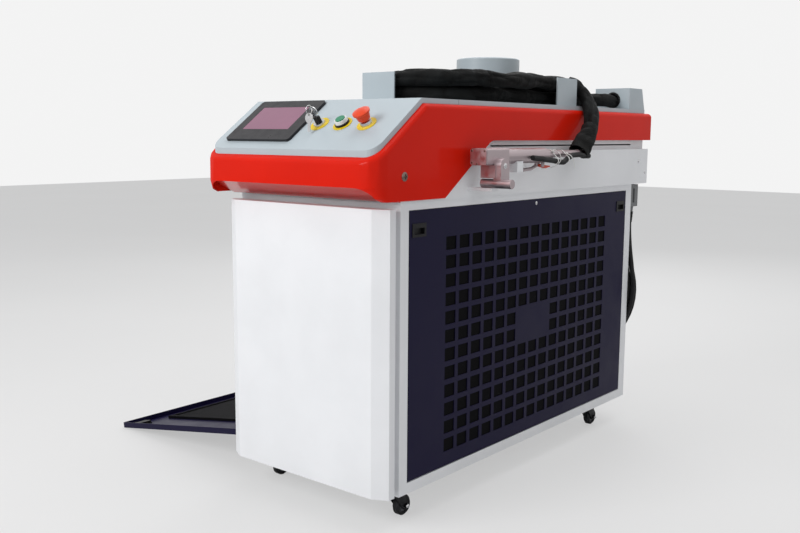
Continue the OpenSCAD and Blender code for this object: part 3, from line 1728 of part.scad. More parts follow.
// Angle of a lap point, and its share of the way from the rear end to the front one
function lap(i) = let (k = (i + 5) % 24)
  k < 6 ? [18 * k, 0] : k < 11 ? [90 + (90 + coil_lean) / 5 * (k - 5), 0]
  : k == 11 ? [180 + coil_lean, 1 / 2]
  : k < 23 ? [180 + coil_lean + (180 - coil_lean) / 10 * (k - 12), 1] : [360, 1 / 2];
function lap_u(i) = floor((i + 5) / 24) + (lap(i)[0] - 90) / 360;
function lap_point(a, w, r, z) = [w * coil_taper + (r - w * coil_taper) * cos(a),
  coil_rear_y + w * (coil_front_y - coil_rear_y) + (r - w * coil_taper) * sin(a), z];
function coil_radius(u) = coil_r - coil_pitch * max(0, min(u, coil_turns - u));
function coil_height(u) = coil_z0 + coil_step * min(1, max(0, (u - coil_turns / 2) * 2 + 1 / 2));
coil_n = round(coil_turns * 24) + 1;
coil_pts = concat(
  [[sleeve_d, coil_rear_y + coil_r, coil_z0]],
  [for (i = [0:coil_n]) let (u = lap_u(i))
    lap_point(lap(i)[0], lap(i)[1], coil_radius(u), coil_height(u))],
  [[coil_r, coil_rear_y + sleeve_d / 2, coil_z0 + coil_step]]);
echo(least_gap_of_umbilical_coil = self_gap(coil_pts, sleeve_d, 8));

module hose_coil() {
  color(black)
    tube_through(coil_pts, sleeve_d / 2, 6, [0, 0, 1], [-1, 0, 0], [0, 1, 0], turn = 30);
}

inlet_pts = [
  [216, 548, 964], [216, 500, 964], [213, 478, 963], [202, 456, 961], [185, 442, 959],
  [162, 432, 957], [130, 430, 956.3], [85, 430, 956.3], [40, 430, 956.3]];

module hose_inlet() {
  color(black)
    tube_through(inlet_pts, sleeve_d / 2, 12, [0, 0, 1], [0, -1, 0], [-1, 0, 0]);
}

drop_pts = [
  [245, 205, 997.3], [247, 225, 995], [256, 242, 986], [275, 245, 968], [294, 236, 947],
  [310, 220, 923], [322, 201, 895], [330, 184, 869], [335, 172, 844], [337, 164.4, 824],
  [337, 159, 813.6], [337, 149.7, 806.5], [337, 138.3, 804]];

module hose_drop() {
  color(black)
    tube_through(drop_pts, sleeve_d / 2, 12, [1, 0.4, 0.3], [0, 1, 0], [0, -1, 0]);
}

base_tray();
front_bulkhead();
rear_bulkhead();
top_tray();
front_panel();
laser_box();
laser_source();
hood();
console_plate();
deck_plate();
coil_hub();
coil_posts();
hose_box();
hose_grommet();
gun_bracket();
touch_screen();
control_rings();
switch_collars();
key();
spare_key();
start_bezel();
start_button();
estop_head();
condenser();
fan_shroud();
fan_rotor();
compressor();
water_tank();
water_pump();
refrigerant_pipes();
power_unit();
power_connector();
cable_hook();
power_lead();
power_coil();
power_plug();
filler_cap();
left_panel();
left_filter();
left_latch_front();
left_latch_rear();
right_panel();
right_filter();
right_latch_front();
right_latch_rear();
caster_fork_front_left();
caster_fork_front_right();
caster_fork_rear_left();
caster_fork_rear_right();
caster_wheel_front_left();
caster_wheel_front_right();
caster_wheel_rear_left();
caster_wheel_rear_right();
gun_head();
gun_barrel();
gun_lines();
gun_trigger();
hose_coil();
hose_drop();
hose_inlet();
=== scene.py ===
# %% [markdown]
# # A laser cleaning machine, dressed in Blender
# The machine is a chiller cabinet on casters with a red hood on top, a coiled umbilical on its
# deck and a hand gun in a rest at the side. This script gives them their finishes and adds what
# a solid model leaves out: woven sleeve, filter mesh, screws, glass and light. A model that is
# imported keeps its sizes, so the looks can be worked on without measuring anything twice.

# %% Load the machine
import math

import bmesh
import bpy
from mathutils import Matrix, Vector, noise


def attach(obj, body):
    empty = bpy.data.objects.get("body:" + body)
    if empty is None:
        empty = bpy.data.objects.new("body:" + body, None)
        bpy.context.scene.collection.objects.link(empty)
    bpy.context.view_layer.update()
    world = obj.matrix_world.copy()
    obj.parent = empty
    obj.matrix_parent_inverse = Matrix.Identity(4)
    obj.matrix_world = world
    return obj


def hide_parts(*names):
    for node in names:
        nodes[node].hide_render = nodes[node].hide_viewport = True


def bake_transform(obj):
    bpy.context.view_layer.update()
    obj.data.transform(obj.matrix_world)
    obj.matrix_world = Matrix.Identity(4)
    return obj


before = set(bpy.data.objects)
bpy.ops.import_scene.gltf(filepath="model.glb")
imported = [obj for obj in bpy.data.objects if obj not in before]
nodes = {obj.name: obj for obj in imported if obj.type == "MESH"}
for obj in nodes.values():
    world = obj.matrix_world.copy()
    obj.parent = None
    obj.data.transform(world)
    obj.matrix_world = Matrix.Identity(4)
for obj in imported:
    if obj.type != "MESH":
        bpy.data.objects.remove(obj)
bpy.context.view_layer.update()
FLOOR, DECK = -0.080, 0.936

# %% [markdown]
# ## The camera
# The picture was taken from the front right of the machine, a little lower than its deck, so that
# the front and the grille side are both seen and the deck is not. The place and the lens come
# from the picture's own perspective: the edges of the cabinet fix them. A camera is set by its
# matrix here, because the slight roll of the picture can't be given by a target to look at.

# %% Camera at the photograph's place
AZIMUTH, ELEVATION, ROLL = (math.radians(degrees) for degrees in (39.51, 8.07, 0.37))
CAMERA_PLACE = (1.6153, -2.2162, 0.8535)
LENS, SENSOR, FAR_CLIP = 42.04, 36.0, 50


def place_object(name, data):
    """A new object that holds this data, linked to the scene."""
    thing = bpy.data.objects.new(name, data)
    bpy.context.collection.objects.link(thing)
    return thing


back = Vector((math.sin(AZIMUTH) * math.cos(ELEVATION), -math.cos(AZIMUTH) * math.cos(ELEVATION),
               math.sin(ELEVATION)))
level = (-back).cross(Vector((0, 0, 1))).normalized()
upright = level.cross(-back)
right = level * math.cos(ROLL) + upright * math.sin(ROLL)
up = upright * math.cos(ROLL) - level * math.sin(ROLL)
camera = place_object("camera", bpy.data.cameras.new("camera"))
camera.data.lens = LENS
camera.data.sensor_width = SENSOR
camera.data.clip_end = FAR_CLIP
camera.matrix_world = Matrix.Translation(CAMERA_PLACE) @ Matrix((right, up, back)).transposed().to_4x4()
bpy.context.scene.camera = camera
print("camera looks along", tuple(round(c, 3) for c in -back))

# %% [markdown]
# ## Tubes that follow a path
# The umbilical and the mains cable are tubes along a line. A curve object with a bevel would do
# for a smooth cable, but a woven sleeve has creases and a soft, uneven outline, so the tube is a
# mesh here: one ring of points for each point of the path, with a radius that the maker sets
# as it goes along and round. The ring is carried along without twisting it.

# %% Soft paths
def smooth_path(points, step=0.012):
    """Points of a soft curve through the given ones, about one step apart."""
    p = [Vector(q) for q in points]
    p = [p[0] * 2 - p[1]] + p + [p[-1] * 2 - p[-2]]
    out = []
    for a, b, c, d in zip(p, p[1:], p[2:], p[3:]):
        n = max(1, round((c - b).length / step))
        for i in range(n):
            t = i / n
            out.append(0.5 * (2 * b + (c - a) * t + (2 * a - 5 * b + 4 * c - d) * t * t
                              + (3 * b - a - 3 * c + d) * t ** 3))
    return out + [p[-2]]


def path_length(path):
    return sum((b - a).length for a, b in zip(path, path[1:]))


def clamp(value):
    """The value, kept between 0 and 1."""
    return min(1.0, max(0.0, value))


def ease(share):
    """From 0 to 1 with a soft start and a soft end."""
    return share * share * (3 - 2 * share)


corner = smooth_path([(0, 0, 0), (0.1, 0, 0), (0.1, 0.1, 0)])
print("a test corner has", len(corner), "points over", round(path_length(corner), 4), "m")


# %% Tubes
def skin_rings(bm, rings):
    """Faces between each ring of points and the next."""
    for a, b in zip(rings, rings[1:]):
        for k in range(len(a)):
            after = (k + 1) % len(a)
            bm.faces.new((a[k], a[after], b[after], b[k]))


def make_tube(name, path, radius_at, sides):
    """A closed tube along path. radius_at(along, angle) gives its radius at each place."""
    bm = bmesh.new()
    rings, along, side = [], 0.0, None
    for i, p in enumerate(path):
        ahead = path[min(i + 1, len(path) - 1)] - path[max(i - 1, 0)]
        ahead.normalize()
        if i:
            along += (p - path[i - 1]).length
        side = ahead.orthogonal() if side is None else side - ahead * side.dot(ahead)
        side.normalize()
        lift = ahead.cross(side)
        angles = [math.tau * k / sides for k in range(sides)]
        rings.append([bm.verts.new(p + (side * math.cos(a) + lift * math.sin(a)) * radius_at(along, a))
                      for a in angles])
    skin_rings(bm, rings)
    bm.faces.new(rings[0][::-1])
    bm.faces.new(rings[-1])
    mesh = bpy.data.meshes.new(name)
    bm.to_mesh(mesh)
    bm.free()
    mesh.shade_smooth()
    return place_object(name, mesh)


print("tube helpers ready")

# %% [markdown]
# ## The umbilical
# The gun's supply is a hose bundle in a black woven sleeve, about 10.2 m of it. It comes out of
# the grey outlet box, lies in two layers round the drum on the deck, spirals in below and out
# again above, and then drops over the deck's edge to the gun. The route has the same numbers as
# the solid model, so the dressed sleeve lies where its solid lies. Only the end of the drop runs
# up to 10 mm beside its solid, to stay inside the slack cuff that the solid hasn't got.

# %% Turns of the coil
SLEEVE = 0.040
COIL_R, COIL_TURNS, COIL_START = 0.245, 5.75, 0.005
COIL_LOW, COIL_STEP, COIL_PITCH = DECK + 0.0203, 0.041, 0.042
COIL_FRONT, COIL_REAR, COIL_TAPER = -0.131, 0.185, 0.049
COIL_LEAN = 2 * math.atan(COIL_TAPER / (COIL_REAR - COIL_FRONT)) / math.tau
REAR_STEPS, FRONT_STEPS = 24, 22
STRAIGHT_SHARES = (0.2, 0.4, 0.6, 0.8)


def coil_point(turn, share):
    """A point of the coil: share is 0 on the rear bend, 1 on the tighter front bend."""
    shrink = share * COIL_TAPER
    r = COIL_R - COIL_PITCH * max(0.0, min(turn, COIL_TURNS - turn)) - shrink
    rise = clamp((turn - COIL_TURNS / 2) * 2 + 0.5)
    angle = math.tau * turn + math.pi / 2
    return Vector((shrink + r * math.cos(angle),
                   COIL_REAR + share * (COIL_FRONT - COIL_REAR) + r * math.sin(angle),
                   COIL_LOW + COIL_STEP * rise))


stops = [(0.0, 0.0)]
for lap in range(math.ceil(COIL_TURNS)):
    rear = [lap - 0.25 + (0.5 + COIL_LEAN) * k / REAR_STEPS for k in range(REAR_STEPS + 1)]
    front = [rear[-1] + (0.5 - COIL_LEAN) * k / FRONT_STEPS for k in range(FRONT_STEPS + 1)]
    stops += [(turn, 0.0) for turn in rear if turn > COIL_START]
    stops += [(rear[-1], share) for share in STRAIGHT_SHARES]
    stops += [(turn, 1.0) for turn in front]
    stops += [(front[-1], share) for share in reversed(STRAIGHT_SHARES)]
stops.append((COIL_TURNS, 0.0))
coil_path = smooth_path([(0.040, COIL_REAR + COIL_R, COIL_LOW), (0.020, COIL_REAR + COIL_R, COIL_LOW)]
                        + [coil_point(turn, share) for turn, share in stops]
                        + [(COIL_R, COIL_REAR + 0.020, COIL_LOW + COIL_STEP)])
print("coil", round(path_length(coil_path), 3), "m in", COIL_TURNS, "turns")

# %% Route to the coil and down to the gun
inlet_path = smooth_path([(0.216, 0.548, 0.964), (0.216, 0.500, 0.964), (0.213, 0.478, 0.963),
                          (0.202, 0.456, 0.961), (0.185, 0.442, 0.959), (0.162, 0.432, 0.957),
                          (0.130, 0.430, 0.9563), (0.085, 0.430, 0.9563), (0.040, 0.430, 0.9563)], 0.015)
drop_path = smooth_path([(0.245, 0.205, 0.9973), (0.247, 0.225, 0.995), (0.256, 0.242, 0.986),
                         (0.275, 0.245, 0.968), (0.294, 0.236, 0.947), (0.310, 0.220, 0.923),
                         (0.322, 0.200, 0.895), (0.3295, 0.182, 0.869), (0.3345, 0.167, 0.845),
                         (0.3370, 0.1565, 0.826), (0.3370, 0.149, 0.813), (0.337, 0.1383, 0.804)], 0.006)
long_path = inlet_path[:-1] + coil_path
DROP_LENGTH = path_length(drop_path)
print("umbilical", round(path_length(long_path), 3), "m and drop", round(DROP_LENGTH, 3), "m")

# %% [markdown]
# ## The sleeve
# The sleeve is wider than the hoses in it, so it sags in broad lumps and folds pinch it along
# winding lines. Both come from noise that is read on a circle round the tube, where it meets
# itself without a seam. Broad noise makes the lumps. The folds follow the lines on which a second
# noise is zero, which wind and branch as creases in cloth do. A cloth simulation would give
# truer folds, but on 10 m of tube it takes far longer than this formula.

# %% Sleeve on the umbilical
LUMP, LUMP_LIMIT, LUMP_RATE, LUMP_REACH = 0.0120, 0.0010, 9, 0.55
PINCH, PINCH_WIDTH, PINCH_RATE, PINCH_REACH, PINCH_START = 0.0048, 0.09, 11, 1.3, 40
SLACK = 0.0016


def noise_place(along, angle, rate, reach, start=0):
    """A place in the noise for a point of a tube. It runs on a circle, so no seam shows."""
    return Vector((reach * math.cos(angle), reach * math.sin(angle), along * rate + start))


def sleeve_radius(along, angle):
    """The sleeve's radius: its own and some slack, with the lumps, less the folds."""
    lump = LUMP * noise.noise(noise_place(along, angle, LUMP_RATE, LUMP_REACH))
    fold = noise.noise(noise_place(along, angle, PINCH_RATE, PINCH_REACH, PINCH_START))
    return SLEEVE / 2 + SLACK + min(LUMP_LIMIT, lump) - PINCH * math.exp(-abs(fold) / PINCH_WIDTH)


long_sleeve = make_tube("umbilical_sleeve", long_path, sleeve_radius, sides=36)
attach(long_sleeve, "cabinet")
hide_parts("hose_inlet", "hose_coil")
print("sleeve points", len(long_sleeve.data.vertices))

# %% Sleeve of the drop
BARE_END, BARE_RUN, BARE_LESS = 0.025, 0.050, 0.0085
LOOSE_FROM, LOOSE_RUN, LOOSE_MORE = 0.10, 0.05, 0.0014


def drop_radius(along, angle):
    """Inside the slack cuff only the bare hoses go on to the ferrule, which are slimmer."""
    bare = clamp(1 - (DROP_LENGTH - along - BARE_END) / BARE_RUN)
    loose = clamp((along - LOOSE_FROM) / LOOSE_RUN)
    return sleeve_radius(along, angle) + LOOSE_MORE * loose - BARE_LESS * ease(bare)


drop_sleeve = make_tube("umbilical_drop", drop_path, drop_radius, sides=28)
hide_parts("hose_drop")
print("drop points", len(drop_sleeve.data.vertices))

# %% [markdown]
# ## The slack cuff
# The sleeve's loose end hangs open over the gun's ferrule, pressed flat against the gun. It is a
# tube too, but its section isn't round: it gets wider one way and thinner the other towards its
# mouth, and the lip on the near side is a little shorter. So each of its points has a formula,
# and a solidify modifier gives the cloth its thickness.

# %% Cuff over the ferrule
CUFF_WAY = smooth_path([(0.3280, 0.1860, 0.8750), (0.3325, 0.1700, 0.8590), (0.3350, 0.1520, 0.8450),
                        (0.3370, 0.1300, 0.8290), (0.3370, 0.1010, 0.8046)], 0.003)
CUFF_OUT = Vector((0.48, -0.88, 0.02))
CUFF_R, CUFF_WIDER, CUFF_FLATTER, CUFF_CLOTH = 0.0222, 0.0060, 0.0050, 0.0014
CUFF_WOBBLE, CUFF_RATE, CUFF_REACH = (0.0030, 0.0036), 5, 1.5
OTHER_NOISE = Vector((0.0, 4.0, 9.0))
SPREAD_SHARE, LIP_SHARE = 0.75, 0.05
CUFF_ROWS, CUFF_ROUND = 36, 60


def cuff_point(share, angle):
    """A point of the cuff. It spreads towards its mouth, which is pressed flat against the gun."""
    at = share * (1 - LIP_SHARE * max(0.0, math.sin(angle))) * (len(CUFF_WAY) - 2)
    i = int(at)
    centre = CUFF_WAY[i].lerp(CUFF_WAY[i + 1], at - i)
    ahead = (CUFF_WAY[i + 1] - CUFF_WAY[i]).normalized()
    across = CUFF_OUT.cross(ahead).normalized()
    lift = ahead.cross(across)
    fold = noise_place(share, angle, CUFF_RATE, CUFF_REACH)
    wide = CUFF_R + CUFF_WIDER * ease(min(1.0, share / SPREAD_SHARE)) + CUFF_WOBBLE[0] * noise.noise(fold)
    deep = CUFF_R - CUFF_FLATTER * share + CUFF_WOBBLE[1] * noise.noise(fold + OTHER_NOISE)
    return centre + across * wide * math.cos(angle) + lift * deep * math.sin(angle)


bm = bmesh.new()
skin_rings(bm, [[bm.verts.new(cuff_point(row / CUFF_ROWS, math.tau * k / CUFF_ROUND))
                 for k in range(CUFF_ROUND)] for row in range(CUFF_ROWS + 1)])
cuff_mesh = bpy.data.meshes.new("umbilical_cuff")
bm.to_mesh(cuff_mesh)
bm.free()
cuff_mesh.shade_smooth()
cuff = place_object("umbilical_cuff", cuff_mesh)
cuff.modifiers.new("cloth thickness", "SOLIDIFY").thickness = CUFF_CLOTH
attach(cuff, "gun")
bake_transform(drop_sleeve)
print("cuff length", round(path_length(CUFF_WAY), 3), "m")

# %% [markdown]
# ## The mains cable
# Behind the cabinet a black mains cable hangs in a coil on a hook, and only the edge of the coil
# is seen past the cabinet's rear corner. A cable keeps its round section, so a plain tube is
# right for it. It spirals in on one layer and out on the next, and ends in a plug.

# %% Mains cable
CABLE = 0.014
WIND_X, WIND_Y, WIND_Z, WIND_R = 0.066, 0.598, 0.351, 0.217
WIND_TURNS, WIND_PITCH, WIND_STEP, PER_TURN = 4.125, 0.016, 0.015, 48
wind_path = []
for i in range(round(WIND_TURNS * PER_TURN) + 1):
    turn = i / PER_TURN
    r = WIND_R - WIND_PITCH * min(turn, WIND_TURNS - turn)
    rise = clamp((turn - WIND_TURNS / 2) * 2 + 0.5)
    wind_path.append(Vector((WIND_X + r * math.cos(math.tau * turn), WIND_Y + WIND_STEP * rise,
                             WIND_Z - r * math.sin(math.tau * turn))))
tail_way = Vector((-math.sin(math.tau * WIND_TURNS), 0, -math.cos(math.tau * WIND_TURNS)))
lead_path = smooth_path([(0.254, 0.612, 0.608), (0.254, 0.612, 0.570), (0.256, 0.611, 0.535),
                         (0.262, 0.608, 0.490), (0.270, 0.604, 0.450), (0.278, 0.600, 0.410),
                         (0.283, 0.598, 0.385), (0.283, 0.598, 0.365)], 0.010)
tail_path = smooth_path([wind_path[-1] + CABLE * tail_way, (0.198, 0.614, 0.172),
                         (0.190, 0.616, 0.150), (0.186, 0.618, 0.122), (0.186, 0.618, 0.096)], 0.008)
cable_path = lead_path + wind_path + tail_path
cable = make_tube("mains_cable", cable_path, lambda along, angle: CABLE / 2, sides=14)
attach(cable, "cabinet")
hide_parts("power_lead", "power_coil")
print("mains cable", round(path_length(cable_path), 3), "m")

# %% [markdown]
# ## Painted sheet metal
# The cabinet is folded steel with a baked powder coat. Such a coat is not flat: it has a fine
# orange peel, its gloss wavers a little, and dust greys it slightly. Those three things come from
# noise at three scales. A picture of a surface could do the same, but noise has no seams, needs
# no unwrapping, and keeps its scale in metres on every part.

# %% A material and its nodes
def set_inputs(node, **values):
    """Values for the inputs of a node, by name, with _ for a space."""
    for name, value in values.items():
        node.inputs[name.replace("_", " ")].default_value = value


def shader_of(mat):
    return mat.node_tree.nodes["Principled BSDF"]


def new_material(name, colour, roughness, metallic=0.0, mirror=0.5):
    mat = bpy.data.materials.new(name)
    mat.use_nodes = True
    mat.diffuse_color = (*colour, 1)
    set_inputs(shader_of(mat), Base_Color=(*colour, 1), Roughness=roughness, Metallic=metallic,
               Specular_IOR_Level=mirror)
    return mat


def add_noise(mat, scale, detail, stretch=(1, 1, 1)):
    """Noise in the object's own metres, stretched along an axis if asked."""
    nt = mat.node_tree
    where = nt.nodes.new("ShaderNodeTexCoord")
    place = nt.nodes.new("ShaderNodeMapping")
    cloud = nt.nodes.new("ShaderNodeTexNoise")
    set_inputs(place, Scale=stretch)
    set_inputs(cloud, Scale=scale, Detail=detail)
    nt.links.new(where.outputs["Object"], place.inputs["Vector"])
    nt.links.new(place.outputs["Vector"], cloud.inputs["Vector"])
    return cloud


def add_bump(mat, height, distance):
    """Relief on the whole surface, this deep where the height runs from 0 to 1."""
    nt = mat.node_tree
    bump = nt.nodes.new("ShaderNodeBump")
    set_inputs(bump, Distance=distance, Strength=1.0)
    nt.links.new(height, bump.inputs["Height"])
    nt.links.new(bump.outputs["Normal"], shader_of(mat).inputs["Normal"])


print("material helpers ready")


# %% Colour and gloss that drift
NOISE_LOW, NOISE_HIGH = 0.3, 0.7


def add_ramp(mat, height, low, high, low_at=NOISE_LOW, high_at=NOISE_HIGH):
    """Colours from low to high, chosen by the height. It returns the colour socket."""
    ramp = mat.node_tree.nodes.new("ShaderNodeValToRGB")
    for stop, at, colour in zip(ramp.color_ramp.elements, (low_at, high_at), (low, high)):
        stop.position = at
        stop.color = (*colour, 1)
    mat.node_tree.links.new(height, ramp.inputs["Fac"])
    return ramp.outputs["Color"]


def vary_colour(mat, colour, amount, scale, stretch=(1, 1, 1)):
    """The colour drifts between a darker and a lighter shade."""
    darker = [c * (1 - amount) for c in colour]
    lighter = [min(1, c * (1 + amount / 2)) for c in colour]
    shade = add_ramp(mat, add_noise(mat, scale, 4.0, stretch).outputs["Fac"], darker, lighter)
    mat.node_tree.links.new(shade, shader_of(mat).inputs["Base Color"])


def vary_roughness(mat, low, high, scale, stretch=(1, 1, 1)):
    nt = mat.node_tree
    span = nt.nodes.new("ShaderNodeMapRange")
    set_inputs(span, From_Min=NOISE_LOW, From_Max=NOISE_HIGH, To_Min=low, To_Max=high)
    nt.links.new(add_noise(mat, scale, 3.0, stretch).outputs["Fac"], span.inputs["Value"])
    nt.links.new(span.outputs["Result"], shader_of(mat).inputs["Roughness"])


def powder_coat(name, colour, roughness=0.42, mirror=0.5):
    mat = new_material(name, colour, roughness, mirror=mirror)
    vary_colour(mat, colour, 0.04, 6)
    vary_roughness(mat, roughness - 0.06, roughness + 0.06, 14)
    add_bump(mat, add_noise(mat, 520, 2.0).outputs["Fac"], ORANGE_PEEL)
    return mat


ORANGE_PEEL = 0.00006
WHITE = (0.84, 0.85, 0.87)
white_coat = powder_coat("white_powder_coat", WHITE)
plate_coat = powder_coat("grey_blue_powder_coat", (0.44, 0.50, 0.535))
# The navy is the side panels' own colour; its slight purple hue is a painted reflection of red
# surroundings.
navy_coat = powder_coat("navy_powder_coat", (0.0068, 0.0048, 0.0290), 0.40, mirror=0.12)
print("powder coats", white_coat.name, plate_coat.name, navy_coat.name)

# %% [markdown]
# ## Glossy red lacquer
# The hood is smooth lacquer with a clear coat: a sharp highlight on the rounded rim over a soft
# red body. One rough layer can't give both, so the shader's own coat lies over the paint.

# %% Red lacquer
RED = (0.70, 0.013, 0.003)
red_lacquer = new_material("red_lacquer", RED, 0.42, mirror=0.04)
set_inputs(shader_of(red_lacquer), Coat_Weight=0.13, Coat_Roughness=0.10)
vary_colour(red_lacquer, RED, 0.06, 5)
add_bump(red_lacquer, add_noise(red_lacquer, 160, 2.0).outputs["Fac"], 0.00005)
print("lacquer", red_lacquer.name, "with", len(red_lacquer.node_tree.nodes), "nodes")

# %% [markdown]
# ## White box with a red chin
# The box that carries the laser is white, but its slanted underside in front of the cabinet is
# lacquered red like the hood round it. The two paints meet on the line where the box leaves the
# cabinet, so the place along the machine's length chooses between them. A mix node has one
# socket of each name for every kind of value, so its colour sockets are taken by their numbers.

# %% White coat with a red chin
CHIN_Y = -0.6005
CHIN_RED = (0.62, 0.016, 0.005)
MIX_BEHIND, MIX_BEFORE, MIX_RESULT = 6, 7, 2


def paint_chin(mat, y, colour):
    """In front of this y the coat has another colour and a clear coat."""
    nt, shader = mat.node_tree, shader_of(mat)
    body_paint = shader.inputs["Base Color"].links[0].from_socket
    where = nt.nodes.new("ShaderNodeTexCoord")
    split = nt.nodes.new("ShaderNodeSeparateXYZ")
    in_front = nt.nodes.new("ShaderNodeMath")
    in_front.operation = "LESS_THAN"
    in_front.inputs[1].default_value = y
    paints = nt.nodes.new("ShaderNodeMix")
    paints.data_type = "RGBA"
    paints.inputs[MIX_BEFORE].default_value = (*colour, 1)
    nt.links.new(where.outputs["Object"], split.inputs["Vector"])
    nt.links.new(split.outputs["Y"], in_front.inputs[0])
    nt.links.new(in_front.outputs[0], paints.inputs["Factor"])
    nt.links.new(body_paint, paints.inputs[MIX_BEHIND])
    nt.links.new(paints.outputs[MIX_RESULT], shader.inputs["Base Color"])
    nt.links.new(in_front.outputs[0], shader.inputs["Coat Weight"])
    set_inputs(shader, Coat_Roughness=0.12)


box_coat = powder_coat("white_coat_with_red_chin", WHITE)
paint_chin(box_coat, CHIN_Y, CHIN_RED)
print("chin in front of", CHIN_Y)

# %% [markdown]
# ## Plastics, rubber and metal
# The small parts are moulded or turned. A moulding has a fine spark-eroded grain, rubber is dull
# and dusty, and a turned or brushed metal has streaks along the way it was worked, which is the
# same noise stretched a lot in one direction.

# %% Plastics, rubber and metal
def moulded(name, colour, roughness=0.45, grain=0.00008, mirror=0.5):
    mat = new_material(name, colour, roughness, mirror=mirror)
    vary_colour(mat, colour, 0.10, 20)
    vary_roughness(mat, roughness - 0.08, roughness + 0.08, 40)
    add_bump(mat, add_noise(mat, 900, 2.0).outputs["Fac"], grain)
    return mat


def worked_metal(name, colour, roughness, stretch=(1, 1, 1), scale=90, scratch=0.00003):
    mat = new_material(name, colour, roughness, metallic=1.0)
    vary_colour(mat, colour, 0.08, 30, stretch)
    vary_roughness(mat, roughness * 0.7, roughness * 1.4, scale, stretch)
    add_bump(mat, add_noise(mat, scale * 4, 2.0, stretch).outputs["Fac"], scratch)
    return mat


black_plastic = moulded("black_plastic", (0.008, 0.008, 0.009), mirror=0.22)
charcoal_plastic = moulded("charcoal_plastic", (0.016, 0.015, 0.018), 0.35, mirror=0.25)
grey_plastic = moulded("grey_plastic", (0.16, 0.165, 0.17))
white_plastic = moulded("white_plastic", (0.78, 0.78, 0.76), 0.3)
green_plastic = moulded("green_plastic", (0.006, 0.20, 0.095), 0.28)
red_plastic = moulded("red_plastic", (0.74, 0.062, 0.016), 0.32, mirror=0.28)
yellow_plastic = moulded("yellow_plastic", (0.78, 0.56, 0.010))
trigger_plastic = moulded("orange_red_plastic", (0.62, 0.050, 0.012), 0.4)
tank_plastic = moulded("tank_plastic", (0.62, 0.68, 0.70), 0.35)
rubber = moulded("rubber", (0.009, 0.009, 0.010), 0.62, grain=0.00015, mirror=0.22)
wheel_rubber = moulded("wheel_rubber", (0.016, 0.016, 0.018), 0.55, mirror=0.25)
steel = worked_metal("bright_steel", (0.62, 0.62, 0.63), 0.22)
# The warm pink tint in this metal's colour is a painted reflection of red surroundings.
gun_metal = worked_metal("satin_gun_metal", (0.44, 0.37, 0.385), 0.40, (1, 0.06, 1), 60, 0.00002)
cast_metal = worked_metal("cast_aluminium", (0.56, 0.56, 0.57), 0.38)
fin_metal = worked_metal("fin_aluminium", (0.52, 0.54, 0.56), 0.35, (1, 1, 0.1))
copper = worked_metal("copper_pipe", (0.75, 0.36, 0.20), 0.28)
print("materials", len(bpy.data.materials))

# %% [markdown]
# ## Woven sleeve and filter mesh
# The sleeve is braided from black polyester, with a slight sheen. Two sets of bands cross over each other,
# and where both are high there is a thread. The colour is painted lighter on the threads' tops, a painted
# highlight, and darker between them, a painted shade. The filter is a fine black net, made in the same way
# from two square sets of bands. Both are too fine for geometry.
# Folds in the sleeve are larger than its threads: a second bump under the first one bends the light over
# them, and the same noise darkens the creases in the colour, a painted shade.

# %% Woven sleeve and filter mesh
WAVES_PER_SCALE = 3.2


def woven(name, colour, pitch, depth, turn, sheen, mirror):
    """Threads this far apart, turned by this angle, standing this far out of the cloth."""
    mat = new_material(name, colour, 0.75, mirror=mirror)
    nt = mat.node_tree
    where = nt.nodes.new("ShaderNodeTexCoord")
    both = nt.nodes.new("ShaderNodeMath")
    both.operation = "MULTIPLY"
    for threads, angle in enumerate((turn, turn + math.pi / 2)):
        place = nt.nodes.new("ShaderNodeMapping")
        bands = nt.nodes.new("ShaderNodeTexWave")
        set_inputs(place, Rotation=(angle, angle, angle))
        set_inputs(bands, Scale=1 / pitch / WAVES_PER_SCALE, Distortion=0.6, Detail=1.0)
        nt.links.new(where.outputs["Object"], place.inputs["Vector"])
        nt.links.new(place.outputs["Vector"], bands.inputs["Vector"])
        nt.links.new(bands.outputs["Fac"], both.inputs[threads])
    add_bump(mat, both.outputs[0], depth)
    # Painted shade between the threads and painted highlight on their tops: the colour runs from 0.45 to
    # 1.7 times its own by the threads' height.
    shade = add_ramp(mat, both.outputs[0], [c * 0.45 for c in colour], [c * 1.7 for c in colour], 0.0, 1.0)
    nt.links.new(shade, shader_of(mat).inputs["Base Color"])
    set_inputs(shader_of(mat), Sheen_Weight=sheen, Sheen_Roughness=0.5)
    return mat


def fold_cloth(mat, scale, depth):
    """Folds larger than the threads: relief under the weave, and painted shade in the creases."""
    nt, shader = mat.node_tree, shader_of(mat)
    threads = shader.inputs["Base Color"].links[0].from_socket
    weave_bump = shader.inputs["Normal"].links[0].from_node
    crumple = add_noise(mat, scale, 2.0)
    set_inputs(crumple, Distortion=1.1)
    fold_bump = nt.nodes.new("ShaderNodeBump")
    set_inputs(fold_bump, Distance=depth, Strength=1.0)
    nt.links.new(crumple.outputs["Fac"], fold_bump.inputs["Height"])
    nt.links.new(fold_bump.outputs["Normal"], weave_bump.inputs["Normal"])
    # Painted shade: the fold noise darkens the braid's colour in the creases.
    shade = add_ramp(mat, crumple.outputs["Fac"], (0.05, 0.05, 0.05), (0.95, 0.90, 0.95), 0.42, 0.60)
    painted_crease_shade = nt.nodes.new("ShaderNodeVectorMath")
    painted_crease_shade.operation = "MULTIPLY"
    nt.links.new(threads, painted_crease_shade.inputs[0])
    nt.links.new(shade, painted_crease_shade.inputs[1])
    nt.links.new(painted_crease_shade.outputs[0], shader.inputs["Base Color"])


